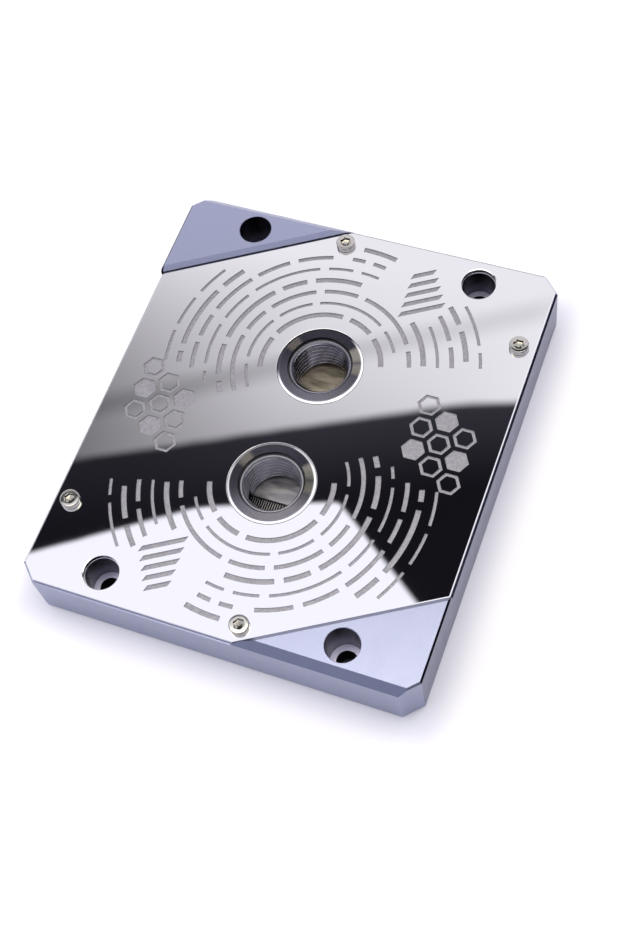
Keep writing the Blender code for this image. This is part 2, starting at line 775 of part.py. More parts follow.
for part in (frame_body, top_plate, flow_core, cold_plate, jet_plate):
    shade(part)
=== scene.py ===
# %% [markdown]
# A CPU water block. A milled aluminium frame holds a turned and plated water core, and a mirror-polished
# steel plate covers it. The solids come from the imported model, already in place, so this script only gives
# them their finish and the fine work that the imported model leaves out. It loads them first, as a fixed frame
# in metres.

# %% Load the fixed frame
import json
from math import cos, pi, radians, sin, sqrt, tan

import bmesh
import bpy
import numpy as np
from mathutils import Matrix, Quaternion, Vector
from mathutils.geometry import convex_hull_2d, delaunay_2d_cdt


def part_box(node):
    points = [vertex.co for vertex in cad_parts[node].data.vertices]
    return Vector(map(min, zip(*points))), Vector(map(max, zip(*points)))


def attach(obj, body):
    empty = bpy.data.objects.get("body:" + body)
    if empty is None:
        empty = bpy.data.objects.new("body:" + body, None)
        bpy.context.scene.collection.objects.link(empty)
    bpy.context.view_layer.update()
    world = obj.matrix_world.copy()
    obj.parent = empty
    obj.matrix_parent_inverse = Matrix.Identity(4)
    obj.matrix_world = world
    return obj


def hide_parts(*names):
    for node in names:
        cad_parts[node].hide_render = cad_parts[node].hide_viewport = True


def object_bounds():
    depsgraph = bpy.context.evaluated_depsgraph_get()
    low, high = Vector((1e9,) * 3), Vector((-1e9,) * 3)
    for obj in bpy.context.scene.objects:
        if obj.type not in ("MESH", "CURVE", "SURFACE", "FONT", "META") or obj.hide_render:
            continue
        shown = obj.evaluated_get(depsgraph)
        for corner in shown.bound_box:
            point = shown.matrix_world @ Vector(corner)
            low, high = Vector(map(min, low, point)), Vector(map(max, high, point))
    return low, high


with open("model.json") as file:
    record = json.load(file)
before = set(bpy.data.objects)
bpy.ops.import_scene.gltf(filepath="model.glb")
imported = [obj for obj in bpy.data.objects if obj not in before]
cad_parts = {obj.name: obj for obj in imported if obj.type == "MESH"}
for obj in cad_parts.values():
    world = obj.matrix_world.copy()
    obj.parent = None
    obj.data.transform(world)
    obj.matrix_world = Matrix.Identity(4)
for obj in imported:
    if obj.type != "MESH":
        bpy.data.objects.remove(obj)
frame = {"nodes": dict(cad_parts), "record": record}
CAD_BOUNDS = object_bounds()
MM = 0.001
print("CAD box in mm:", [tuple(round(value / MM, 2) for value in corner) for corner in CAD_BOUNDS])

# %% [markdown]
# Everything is placed from the frame: the levels of the plate, the rings and the corner blocks are the tops
# of their nodes, and the ports and mounting holes stand where the record's opening boxes do. Only the sizes
# that no box gives, such as a hole's radius, are written here or where they are first needed.

# %% Levels and places
HALF_WIDTH, HALF_LENGTH = CAD_BOUNDS[1].xy
FRAME_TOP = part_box("frame_body")[1].z
PLATE_LOW, PLATE_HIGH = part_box("top_plate")
PLATE_TOP = PLATE_HIGH.z
RING_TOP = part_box("flow_core")[1].z
JET_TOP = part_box("jet_plate")[1].z
FIN_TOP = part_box("cold_plate")[1].z

OPENINGS = {
    opening["name"]: (np.array(opening["box_m"][0]) + np.array(opening["box_m"][1])) / 2
    for opening in frame["record"]["physics"]["openings"]
}
PORTS = [OPENINGS["inlet_port"][:2], OPENINGS["outlet_port"][:2]]
PLATE_HOLES = [OPENINGS[f"mount_hole_{number}"][:2] for number in (3, 4)]
PLATE_SCREWS = [np.array(sum(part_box(f"plate_screw_{number}"), Vector()) / 2)[:2] for number in (1, 2, 3, 4)]

CORNER_CUT = 3.7 * MM
MOUNT_RADIUS = 3.85 * MM
print("plate top, ring top, jet plate top in mm:", [round(z / MM, 2) for z in (PLATE_TOP, RING_TOP, JET_TOP)])

# %% [markdown]
# The camera repeats the photograph's view: high over the front edge and a little to the right, rolled so
# that the block leans in the picture. It was worked out from where the block's corners stand in the
# photograph, and is written as where the camera stands, where it looks, its lens and its roll.

# %% Camera
CAMERA_PLACE = Vector((0.08764, -0.13022, 0.28721))
CAMERA_AIM = Vector((0.00640, -0.00862, 0.0140))
CAMERA_LENS_MM = 56.397
CAMERA_ROLL = radians(-15.09)

camera_data = bpy.data.cameras.new("camera")
camera_data.lens = CAMERA_LENS_MM
camera_data.clip_start = 0.01
camera = bpy.data.objects.new("camera", camera_data)
camera.location = CAMERA_PLACE
camera.rotation_mode = "QUATERNION"
camera.rotation_quaternion = (CAMERA_AIM - CAMERA_PLACE).to_track_quat("-Z", "Y") @ Quaternion(
    (0, 0, 1), CAMERA_ROLL
)
bpy.context.scene.collection.objects.link(camera)
bpy.context.scene.camera = camera
bpy.context.scene.view_settings.view_transform = "Standard"
print("camera to block in mm:", round((CAMERA_AIM - CAMERA_PLACE).length / MM))

# %% [markdown]
# Four helpers serve every material. One turns a web colour into the linear light that shaders use, one
# starts a material with an empty node tree, one adds a node with its settings and links, and one gives the
# coordinates of the point that is shaded. A link may be given as the node that it comes from: most nodes
# have one output in use, and that is the one meant. Unless a call says otherwise, a Mix is of colours, with
# its share as input 0 and the colours as inputs 6 and 7, and a MapRange is a smooth step.

# %% Helpers for materials
USUAL_SETTINGS = {"Mix": {"data_type": "RGBA"}, "MapRange": {"interpolation_type": "SMOOTHSTEP"}}


def hex_colour(code):
    """The linear colour of an sRGB hex code: each channel is ((c + 0.055) / 1.055) ** 2.4, or c / 12.92 if
    dark."""
    channels = np.array([int(code[start : start + 2], 16) / 255 for start in (1, 3, 5)])
    linear = np.where(channels <= 0.04045, channels / 12.92, ((channels + 0.055) / 1.055) ** 2.4)
    return (*linear.tolist(), 1.0)


def new_material(name):
    """A material and its node tree, with no node in it yet."""
    material = bpy.data.materials.new(name)
    material.use_nodes = True
    material.node_tree.nodes.clear()
    return material, material.node_tree


def add_node(tree, kind, inputs, **settings):
    """Adds a node and sets its properties. The inputs, a list by number or a dictionary by name or number,
    each take a value, a web colour, a link from a socket, or a link from the first output in use of another
    node."""
    node = tree.nodes.new("ShaderNode" + kind)
    for name, value in {**USUAL_SETTINGS.get(kind, {}), **settings}.items():
        setattr(node, name, value)
    for key, value in inputs.items() if isinstance(inputs, dict) else enumerate(inputs):
        if isinstance(value, bpy.types.Node):
            value = next(output for output in value.outputs if output.enabled)
        if isinstance(value, bpy.types.NodeSocket):
            tree.links.new(value, node.inputs[key])
        else:
            node.inputs[key].default_value = hex_colour(value) if isinstance(value, str) else value
    return node


def coordinates(tree):
    """The point in the object's own metres, whole and then as x, y and z."""
    point = add_node(tree, "TexCoord", []).outputs["Object"]
    return point, *add_node(tree, "SeparateXYZ", [point]).outputs


print("mid grey in linear light:", round(hex_colour("#808080")[0], 3))

# %% [markdown]
# A photographer lights a mirror by what it reflects. Lamps would show in the plate as their own outlines, so
# one wide sheet hangs 0.4 m over the table and holds everything that the plate should mirror, each part
# bounded by straight lines. The first helper measures the distance to such a line, and the second marks a
# band.

# %% Helpers for the sheet of light
SHEET_LEVEL = 0.4
SHEET_HALF_SIDE = 1.1
BAND_END = 0.02


def distance_over(tree, point, start, end):
    """The distance to the left of the line from start to end, both in millimetres: the point's dot product
    with the line's normal, less the line's own distance from the origin."""
    start, end = np.array(start) * MM, np.array(end) * MM
    along = (end - start) / np.linalg.norm(end - start)
    normal = (-along[1], along[0], 0.0)
    dot = add_node(tree, "VectorMath", [point, normal], operation="DOT_PRODUCT")
    offset = float(normal[0] * start[0] + normal[1] * start[1])
    return add_node(tree, "Math", [dot, offset], operation="SUBTRACT")


def within(tree, value, low, high):
    """1 where the value lies between low and high, with soft ends: a step up times a step down."""
    rise = add_node(tree, "MapRange", [value, low, low + BAND_END])
    fall = add_node(tree, "MapRange", [value, high - BAND_END, high, 1.0, 0.0])
    return add_node(tree, "Math", [rise, fall], operation="MULTIPLY")


print("sheet side in m:", 2 * SHEET_HALF_SIDE)

# %% [markdown]
# The far part of the sheet is a pale backdrop. Its light climbs from the flag's edge: at the right it is
# nearly full at once, and at the far left it starts as a dark grey and climbs slowly. One soft crease runs
# across it. The climb is the distance over the edge, as a share of the reach, raised to a power.

# %% Backdrop
BACKDROP = "#E5E3E7"
BACKDROP_SHADE = "#0C0B10"
BACKDROP_ENDS = (-0.228, -0.02)
CLIMB_REACH = (0.135, 0.060)
CLIMB_FOOT = (0.218, 0.95)
POWER_ENDS = (-0.228, -0.135)
CLIMB_POWER = (1.6, 0.7)
CREASE_LINE = ((-225, 167), (-37, 276))
CREASE_HALF_WIDTH = 0.012
CREASE_ENDS = (-0.228, -0.04)
CREASE_DEPTH = (0.34, 0.18)
CREASE_FADE = (-0.03, 0.0)


def backdrop_colour(tree, point, x, over_flag):
    """The foot's light plus the climb's share of what is left, then less the crease."""
    reach = add_node(tree, "MapRange", [x, *BACKDROP_ENDS, *CLIMB_REACH], interpolation_type="LINEAR")
    climb = add_node(tree, "Math", [over_flag, reach], operation="DIVIDE")
    climb = add_node(tree, "MapRange", [climb, 0.0, 1.0], interpolation_type="LINEAR")
    power = add_node(tree, "MapRange", [x, *POWER_ENDS, *CLIMB_POWER], interpolation_type="LINEAR")
    curve = add_node(tree, "Math", [climb, power], operation="POWER")
    foot = add_node(tree, "MapRange", [x, *BACKDROP_ENDS, *CLIMB_FOOT], interpolation_type="LINEAR")
    room = add_node(tree, "Math", [1.0, foot], operation="SUBTRACT")
    gain = add_node(tree, "Math", [curve, room], operation="MULTIPLY")
    light = add_node(tree, "Math", [foot, gain], operation="ADD")
    backdrop = add_node(tree, "Mix", {0: light, 6: BACKDROP_SHADE, 7: BACKDROP})

    off_crease = add_node(tree, "Math", [distance_over(tree, point, *CREASE_LINE)], operation="ABSOLUTE")
    fold = add_node(tree, "MapRange", [off_crease, 0.0, CREASE_HALF_WIDTH, 1.0, 0.0])
    depth = add_node(tree, "MapRange", [x, *CREASE_ENDS, *CREASE_DEPTH])
    end = add_node(tree, "MapRange", [x, *CREASE_FADE, 1.0, 0.0])
    depth = add_node(tree, "Math", [depth, end], operation="MULTIPLY")
    crease = add_node(tree, "Math", [fold, depth], operation="MULTIPLY")
    return add_node(tree, "Mix", {0: crease, 6: backdrop, 7: BACKDROP_SHADE})


print("backdrop light at the flag, left and right:", CLIMB_FOOT)

# %% [markdown]
# The flag is a black board. It gives the plate its black half, which is what makes a polished face read as a
# mirror. It is a little paler near its far edge, and that edge drops by 4 mm towards the right.

# %% Flag
FLAG_BLACK = "#131217"
FLAG_PALE = "#2D2C33"
FLAG_FAR_EDGE = ((-226, 131.5), (-50, 216.5))
FLAG_DROP = 0.004
FLAG_DROP_ENDS = (-0.05, -0.01)
FLAG_SOFT_EDGE = (-0.003, 0.004)
FLAG_PALE_REACH = (-0.05, 0.0)
FLAG_PALE_ENDS = (-0.22, -0.10)
FLAG_PALE_SHARE = (0.4, 1.0)


def over_flag_edge(tree, point, x):
    """The distance over the flag's far edge, more where the edge has dropped."""
    drop = add_node(tree, "MapRange", [x, *FLAG_DROP_ENDS, 0.0, FLAG_DROP])
    edge = distance_over(tree, point, *FLAG_FAR_EDGE)
    return add_node(tree, "Math", [edge, drop], operation="ADD")


def flagged_colour(tree, x, over_flag, backdrop):
    """The flag's black and pale tones under its edge, and the backdrop over it."""
    near_edge = add_node(tree, "MapRange", [over_flag, *FLAG_PALE_REACH])
    share = add_node(tree, "MapRange", [x, *FLAG_PALE_ENDS, *FLAG_PALE_SHARE])
    pale = add_node(tree, "Math", [near_edge, share], operation="MULTIPLY")
    flag = add_node(tree, "Mix", {0: pale, 6: FLAG_BLACK, 7: FLAG_PALE})
    above = add_node(tree, "MapRange", [over_flag, *FLAG_SOFT_EDGE])
    return add_node(tree, "Mix", {0: above, 6: flag, 7: backdrop})


print("flag edge drops by mm:", FLAG_DROP / MM)

# %% [markdown]
# Towards the viewer hangs the softbox, whose far side has three straight edges. A stronger key light inside
# it gives the matt metal its brightness; the plate mirrors it to pure white. Two more strips of light, far
# to the left and the right, draw the rolled edges of the plate and the rims of its holes.

# %% Softbox, key light and strips
SOFTBOX = "#F2F1F9"
SOFTBOX_CORNERS = ((-228.0, 75.2), (-153.8, 124.1), (-87.0, 147.3), (-38.4, 112.0))
SOFTBOX_SOFT_EDGE = 0.002
KEY_WHITE = "#F6F1E5"
KEY_MIDDLE = -0.02
KEY_HALF_WIDTH = 0.20
KEY_NEAR = -0.10
KEY_FADE = 0.04
KEY_FAR_EDGE = ((-110, 56), (-18, 108))
KEY_SOFT_EDGE = 0.004
STRIPS = (((0.11, 0.44), (-0.12, 0.39)), ((-0.80, -0.36), (-0.35, 0.60)))


def softbox_share(tree, point):
    """1 under all three far edges: the product of a step down at each."""
    share = 1.0
    for start, end in zip(SOFTBOX_CORNERS[:-1], SOFTBOX_CORNERS[1:]):
        step = [distance_over(tree, point, start, end), -SOFTBOX_SOFT_EDGE, SOFTBOX_SOFT_EDGE, 1.0, 0.0]
        under_edge = add_node(tree, "MapRange", step)
        share = add_node(tree, "Math", [share, under_edge], operation="MULTIPLY")
    return share


def key_light_share(tree, point, x, y):
    """1 within the key light's half width, short of its far edge and past its near end."""
    off_middle = add_node(tree, "Math", [x, KEY_MIDDLE], operation="SUBTRACT")
    off_middle = add_node(tree, "Math", [off_middle], operation="ABSOLUTE")
    across = add_node(tree, "MapRange", [off_middle, KEY_HALF_WIDTH - KEY_FADE, KEY_HALF_WIDTH, 1.0, 0.0])
    far = [distance_over(tree, point, *KEY_FAR_EDGE), -KEY_SOFT_EDGE, 0.0, 1.0, 0.0]
    far = add_node(tree, "MapRange", far)
    near = add_node(tree, "MapRange", [y, KEY_NEAR, KEY_NEAR + KEY_FADE])
    along = add_node(tree, "Math", [far, near], operation="MULTIPLY")
    return add_node(tree, "Math", [across, along], operation="MULTIPLY")


def strips_share(tree, x, y):
    """1 on either strip: the product of two bands, and the larger of both strips."""
    right, left = [
        add_node(tree, "Math", [within(tree, x, *width), within(tree, y, *reach)], operation="MULTIPLY")
        for width, reach in STRIPS
    ]
    return add_node(tree, "Math", [right, left], operation="MAXIMUM")


print("softbox corners in mm:", SOFTBOX_CORNERS)

# %% [markdown]
# The material puts the parts together: the flag and backdrop, then the softbox and strips over them, then
# the key light. Its strength is that of a plain panel, higher on the key light and fading towards the
# viewer. The sheet itself is hidden from the camera, which would otherwise look at its back.

# %% The sheet of light
SHEET_STRENGTH = 1.75
KEY_STRENGTH = 4.2
NEAR_FADE = (-0.50, -0.22)
NEAR_SHARE = 0.35


def sheet_material():
    material, tree = new_material("softbox_and_flag")
    point, x, y, _ = coordinates(tree)

    over_flag = over_flag_edge(tree, point, x)
    backdrop = backdrop_colour(tree, point, x, over_flag)
    flagged = flagged_colour(tree, x, over_flag, backdrop)
    key = key_light_share(tree, point, x, y)
    lit = add_node(tree, "Math", [softbox_share(tree, point), strips_share(tree, x, y)], operation="MAXIMUM")
    lit = add_node(tree, "Math", [lit, key], operation="MAXIMUM")
    panel = add_node(tree, "Mix", {0: key, 6: SOFTBOX, 7: KEY_WHITE})
    colour = add_node(tree, "Mix", {0: lit, 6: flagged, 7: panel})

    strength = [key, 0.0, 1.0, SHEET_STRENGTH, KEY_STRENGTH]
    strength = add_node(tree, "MapRange", strength, interpolation_type="LINEAR")
    fade = add_node(tree, "MapRange", [y, *NEAR_FADE, NEAR_SHARE, 1.0])
    strength = add_node(tree, "Math", [strength, fade], operation="MULTIPLY")
    light = add_node(tree, "Emission", {"Color": colour, "Strength": strength})
    add_node(tree, "OutputMaterial", {"Surface": light})
    return material


def stage_plane(name, corners, material):
    """A flat rectangle of stage: the floor or a card, which isn't part of the block."""
    mesh = bpy.data.meshes.new(name)
    mesh.from_pydata(corners, [], [(0, 1, 2, 3)])
    mesh.materials.append(material)
    plane = bpy.data.objects.new(name, mesh)
    bpy.context.scene.collection.objects.link(plane)
    return plane


def level_corners(half_side, height):
    return [(x * half_side, y * half_side, height) for x, y in ((-1, -1), (1, -1), (1, 1), (-1, 1))]


sheet = stage_plane("sheet_of_light", level_corners(SHEET_HALF_SIDE, SHEET_LEVEL), sheet_material())
sheet.visible_camera = False
print("sheet nodes:", len(sheet.data.materials[0].node_tree.nodes))

# %% [markdown]
# The floor is a white sweep of diffuse paint, which keeps the block's soft shadow. An emission that only
# camera, mirrored and transmitted rays meet lifts it to the white of the photograph. Both are dark under the
# block, where no light reaches, and within 8 mm of the block's foot the paint is a little bluer and darker,
# a painted contact shadow that deepens the real one.

# %% Floor
FLOOR_HALF_SIDE = 2.5
FLOOR_WHITE = "#ECEBED"
# The contact shade is a painted shadow on the floor round the block's foot; the under shade is the floor
# painted dark where the block hides it.
CONTACT_SHADE = "#D8D8E1"
UNDER_SHADE = "#1C1C24"
FLOOR_GLOW = 0.12
UNDER_GLOW = 0.012
CONTACT_REACH = 8 * MM
UNDER_INSET = 1 * MM


def open_floor_share(tree, off_x, off_y):
    """1 outside the block's outline, drawn in by the inset: past a side, an end or a cut corner."""
    across = add_node(tree, "Math", [off_x, off_y], operation="ADD")
    limits = (
        (off_x, HALF_WIDTH - UNDER_INSET),
        (off_y, HALF_LENGTH - UNDER_INSET),
        (across, HALF_WIDTH + HALF_LENGTH - CORNER_CUT - UNDER_INSET),
    )
    beside, before, corner = [
        add_node(tree, "Math", [value, limit], operation="GREATER_THAN") for value, limit in limits
    ]
    share = add_node(tree, "Math", [beside, before], operation="MAXIMUM")
    return add_node(tree, "Math", [share, corner], operation="MAXIMUM")


def away_from_block(tree, off_x, off_y):
    """The level distance from the block's box: the length of how far the point is past each half side."""
    past = []
    for off, half in ((off_x, HALF_WIDTH), (off_y, HALF_LENGTH)):
        beyond = add_node(tree, "Math", [off, half], operation="SUBTRACT")
        past.append(add_node(tree, "Math", [beyond, 0.0], operation="MAXIMUM"))
    past = add_node(tree, "CombineXYZ", past)
    return add_node(tree, "VectorMath", [past], operation="LENGTH")


def floor_material():
    material, tree = new_material("white_sweep")
    rays = add_node(tree, "LightPath", []).outputs
    seen = add_node(tree, "Math", [rays["Is Camera Ray"], rays["Is Glossy Ray"]], operation="MAXIMUM")
    seen = add_node(tree, "Math", [seen, rays["Is Transmission Ray"]], operation="MAXIMUM")
    _, *level, _ = coordinates(tree)
    off_x, off_y = [add_node(tree, "Math", [axis], operation="ABSOLUTE") for axis in level]
    open_floor = open_floor_share(tree, off_x, off_y)
    glow = add_node(tree, "MapRange", [open_floor, 0.0, 1.0, UNDER_GLOW, FLOOR_GLOW])
    glow = add_node(tree, "Math", [seen, glow], operation="MULTIPLY")

    # Painted contact shadow: the paint darkens to the contact shade within the contact reach of the block.
    away = add_node(tree, "MapRange", [away_from_block(tree, off_x, off_y), 0.0, CONTACT_REACH])
    pale = add_node(tree, "Mix", {0: away, 6: CONTACT_SHADE, 7: FLOOR_WHITE})
    tone = add_node(tree, "Mix", {0: open_floor, 6: UNDER_SHADE, 7: pale})
    paint = add_node(tree, "BsdfDiffuse", {"Color": tone})
    light = add_node(tree, "Emission", {"Color": "#FFFFFF", "Strength": glow})
    both = add_node(tree, "AddShader", [paint, light])
    add_node(tree, "OutputMaterial", {"Surface": both})
    return material


floor = stage_plane("floor", level_corners(FLOOR_HALF_SIDE, 0.0), floor_material())
print("floor nodes:", len(floor.data.materials[0].node_tree.nodes))

# %% [markdown]
# Two cards stand on edge, and the camera doesn't see them. The front chamfer faces a blue-grey one that
# hangs low behind the viewer, and a black one on the right keeps the block's right side dark. The room is a
# pale grey, and pure white where the camera looks straight at it.

# %% Cards and world
NEAR_CARD_Y = -0.7
BLACK_CARD_X = 0.50
CARD_HALF_WIDTH = 0.9
CARD_LOW, CARD_HIGH = 0.14, 0.40
CARD_EDGES = ((-1, CARD_LOW), (1, CARD_LOW), (1, CARD_HIGH), (-1, CARD_HIGH))
ROOM_GREY = "#BDBCC6"
PURE_WHITE = "#FFFFFF"


def standing_card(name, corners, colour):
    """A card on edge that only glows with its own colour."""
    material, tree = new_material(name)
    light = add_node(tree, "Emission", {"Color": colour, "Strength": 1.0})
    add_node(tree, "OutputMaterial", {"Surface": light})
    stage_plane(name, corners, material).visible_camera = False


near_corners = [(way * CARD_HALF_WIDTH, NEAR_CARD_Y, z) for way, z in CARD_EDGES]
standing_card("blue_grey_card", near_corners, "#A9B0C6")
side_corners = [(BLACK_CARD_X, way * CARD_HALF_WIDTH, z - CARD_LOW) for way, z in CARD_EDGES]
standing_card("black_card", side_corners, "#08080A")

world = bpy.data.worlds.new("pale_room")
bpy.context.scene.world = world
world.use_nodes = True
world.node_tree.nodes.clear()
camera_ray = add_node(world.node_tree, "LightPath", []).outputs["Is Camera Ray"]
room_colour = add_node(world.node_tree, "Mix", {0: camera_ray, 6: ROOM_GREY, 7: PURE_WHITE})
room = add_node(world.node_tree, "Background", {"Color": room_colour, "Strength": 1.0})
add_node(world.node_tree, "OutputWorld", {"Surface": room})
print("stage:", [thing.name for thing in (sheet, floor)], "and two cards")

# %% [markdown]
# The finishes share three more helpers: the end that every metal has, a noise whose size is given in metres,
# and a value that varies with such a noise.

# %% Helpers for finishes
NOISE_MIDDLE = (0.3, 0.7)
MOTTLE_ENDS = (0.35, 0.65)


def finished_metal(material, tone, roughness, height, depth):
    """The material with the end that every metal has: a bump, a metallic shader and the output."""
    tree = material.node_tree
    bump = add_node(tree, "Bump", {"Height": height, "Distance": depth})
    finish = {"Base Color": tone, "Metallic": 1.0, "Roughness": roughness, "Normal": bump}
    add_node(tree, "OutputMaterial", {"Surface": add_node(tree, "BsdfPrincipled", finish)})
    return material


def grain(tree, size, detail=2.0, stretch=(1.0, 1.0, 1.0)):
    """Noise on the piece's own coordinates, whose lumps are about one size across, stretched along an
    axis."""
    point = add_node(tree, "TexCoord", []).outputs["Object"]
    scaled = add_node(tree, "Mapping", {"Vector": point, "Scale": stretch})
    noise = {"Vector": scaled, "Scale": 1.0 / size, "Detail": detail, "Roughness": 0.6}
    return add_node(tree, "TexNoise", noise)


def varied(tree, noise, low, high):
    """A value that follows a noise: the middle of the noise's range, spread over low to high."""
    return add_node(tree, "MapRange", [noise, *NOISE_MIDDLE, low, high], interpolation_type="LINEAR")


print("lumps in a metre of 0.25 mm grain:", round(1 / (0.25 * MM)))

# %% [markdown]
# Anodised aluminium is blasted with fine glass beads before it is dyed, so it is a metal with a soft sheen
# and a barely visible grain. Real bead marks are about 0.1 mm wide, too fine to show here, so they are drawn
# at 0.25 mm. A slow change of roughness keeps large faces from looking like plastic. Light and shade are
# painted into the colour in some places: the break along both sides is painted nearly black as a dark
# reflection, the side faces are painted greyer and darker as shade, the counterbores have walls painted dark
# as shade and seats painted pale as light, and the ledge that carries the plate round a hole is painted pale
# as a highlight. Those places are found by comparing the point with the frame's own sizes, so one material
# serves the whole milled piece.

# %% Bead-blasted anodised aluminium
EDGE_SLACK = 0.02 * MM
SIDE_BREAK = 0.4 * MM
COUNTERBORE_RADIUS = 3.70 * MM
COUNTERBORE_WALL = 0.05 * MM
COUNTERBORE_SEAT = FRAME_TOP - 9.5 * MM
MOUTH_DEPTH = 0.1 * MM
LEDGE_WIDTH = 0.5 * MM
MOUNT_HOLE = [float(value) for value in np.abs(PLATE_HOLES[0])]


def painted_light_places(tree):
    """The shares of the frame's places where light and shade are painted, each a list of limits to multiply.
    """
    _, *level, z = coordinates(tree)
    size_x, size_y = [add_node(tree, "Math", [axis], operation="ABSOLUTE") for axis in level]
    off_hole = [
        add_node(tree, "Math", [size, middle], operation="SUBTRACT")
        for size, middle in zip((size_x, size_y), MOUNT_HOLE)
    ]
    from_hole = add_node(tree, "VectorMath", [add_node(tree, "CombineXYZ", off_hole)], operation="LENGTH")
    limits = (
        (size_x, "GREATER_THAN", HALF_WIDTH - EDGE_SLACK),
        (size_x, "GREATER_THAN", HALF_WIDTH - SIDE_BREAK - EDGE_SLACK),
        (z, "GREATER_THAN", PLATE_TOP / 2),
        (size_y, "LESS_THAN", HALF_LENGTH - CORNER_CUT),
        (from_hole, "LESS_THAN", COUNTERBORE_RADIUS + EDGE_SLACK),
        (from_hole, "GREATER_THAN", COUNTERBORE_RADIUS - COUNTERBORE_WALL),
        (z, "LESS_THAN", COUNTERBORE_SEAT - EDGE_SLACK),
        (z, "LESS_THAN", FRAME_TOP - MOUTH_DEPTH),
        (from_hole, "LESS_THAN", MOUNT_RADIUS + LEDGE_WIDTH),
        (z, "LESS_THAN", PLATE_LOW.z),
    )
    on_side, near_side, high, uncut, in_hole, on_wall, under_seat, under_mouth, on_ledge, under_plate = [
        add_node(tree, "Math", [value, limit], operation=way) for value, way, limit in limits
    ]
    wall_or_foot = add_node(tree, "Math", [on_wall, under_seat], operation="MAXIMUM")
    return {
        "side break": [near_side, high, uncut],
        "side face": [on_side],
        "plate ledge": [on_ledge, under_plate],
        "counterbore seat": [in_hole],
        "counterbore wall": [in_hole, wall_or_foot, under_mouth],
    }


# Painted light and shade at each place: a dark reflection on the side break, shade on the side faces and
# counterbore walls, and pale light on the counterbore seats and the plate ledge.
PAINTED_LIGHT_TONES = {
    "side break": "#1E2030",
    "side face": "#75778F",
    "plate ledge": "#EDEDF6",
    "counterbore seat": "#DEDAFA",
    "counterbore wall": "#11121F",
}


def anodised_aluminium():
    material, tree = new_material("bead_blasted_anodised_aluminium")
    tone = add_node(tree, "Mix", {0: grain(tree, 0.35 * MM), 6: "#8F94AD", 7: "#989CB4"})
    for name, (share, *others) in painted_light_places(tree).items():
        for other in others:
            share = add_node(tree, "Math", [share, other], operation="MULTIPLY")
        tone = add_node(tree, "Mix", {0: share, 6: tone, 7: PAINTED_LIGHT_TONES[name]})
    roughness = varied(tree, grain(tree, 4 * MM), 0.33, 0.38)
    return finished_metal(material, tone, roughness, grain(tree, 0.25 * MM, 1.0), 0.012 * MM)


ANODISED = anodised_aluminium()
print(ANODISED.name, "nodes:", len(ANODISED.node_tree.nodes))

# %% [markdown]
# The plate is stainless steel lapped to a mirror. Its reflections stay sharp, apart from a faint wave left
# by the lapping pads, about 14 mm long, and hairlines that only show where a light edge crosses them.

# %% Mirror-polished steel
HAIRLINE_SHARE = 0.02


def mirror_steel():
    material, tree = new_material("mirror_polished_steel")
    wave = grain(tree, 14 * MM, 1.0)
    hairlines = grain(tree, 0.3 * MM, 2.0, (1.0, 0.02, 1.0))
    faint = add_node(tree, "Math", [hairlines, HAIRLINE_SHARE], operation="MULTIPLY")
    height = add_node(tree, "Math", [wave, faint], operation="ADD")
    return finished_metal(material, "#CBCBCE", 0.02, height, 0.006 * MM)


MIRROR = mirror_steel()
print(MIRROR.name, "nodes:", len(MIRROR.node_tree.nodes))

# %% [markdown]
# The design on the plate is etched with acid, which leaves the steel frosted: the same metal with a coarse
# surface. It looks evenly grey from every side, so it shows dark on the bright half of the plate and pale on
# the black half. The pits are about 0.15 mm wide, and their mottle is drawn at 0.24 mm, wide enough to show
# as a sparkle.


# %% Acid-etched steel
def etched_steel():
    material, tree = new_material("acid_etched_steel")
    mottle = add_node(tree, "MapRange", [grain(tree, 0.24 * MM, 3.0), *MOTTLE_ENDS])
    tone = add_node(tree, "Mix", {0: mottle, 6: "#84838A", 7: "#9C9BA1"})
    roughness = varied(tree, grain(tree, 2 * MM), 0.50, 0.60)
    return finished_metal(material, tone, roughness, grain(tree, 0.15 * MM, 1.0), 0.02 * MM)


ETCHED = etched_steel()
print(ETCHED.name, "nodes:", len(ETCHED.node_tree.nodes))

# %% [markdown]
# The water core is brass, turned on a lathe and plated with bright nickel. Turning leaves fine rings round
# each port, so the bump is a wave on the distance to the nearer port's axis. A real feed mark is about 0.1
# mm wide; it is drawn at 0.22 mm. The light on the turned faces is painted into their colour: the ring face
# carries a painted reflection, dark at the back and paler in front, with three narrow warm fans that point at
# its axis, and the sloped rim a painted highlight on its front side. The recess is painted in shade, the
# bore's lip is painted pale, and the bore shows dark thread flanks between crests painted bright as
# highlights; the thread's mouth is darker. The outlet's thread flanks and rim are painted paler than the
# inlet's, and its bore is duller.

# %% Places round a port
RING_SOFT = 0.02 * MM
LIP_RADIUS = 6.78 * MM
PORT_RECESS_RADIUS = 7.27 * MM
RIM_RADIUS = 9.13 * MM
RIM_SOFT = 0.03 * MM
THREAD_CREST = 5.95 * MM
CREST_ENDS = (THREAD_CREST + 0.03 * MM, THREAD_CREST + 0.12 * MM)
THREAD_ROOT = 6.47 * MM
THREAD_TOP = RING_TOP - 0.56 * MM
THREAD_MOUTH = 0.20 * MM
# Painted reflections: each fan is a direction in degrees, the cosines where it starts and where it is full,
# and its colour. The ring and the rim are painted paler towards their front directions.
PAINTED_FANS = ((9, 0.975, 0.998, "#85827B"), (34, 0.96, 0.995, "#8D8A82"), (154, 0.965, 0.998, "#68645F"))
RING_FRONT, RING_ENDS = -75, (-0.7, 0.9)
RIM_FRONT, RIM_ENDS = -48, (-0.4, 0.1)


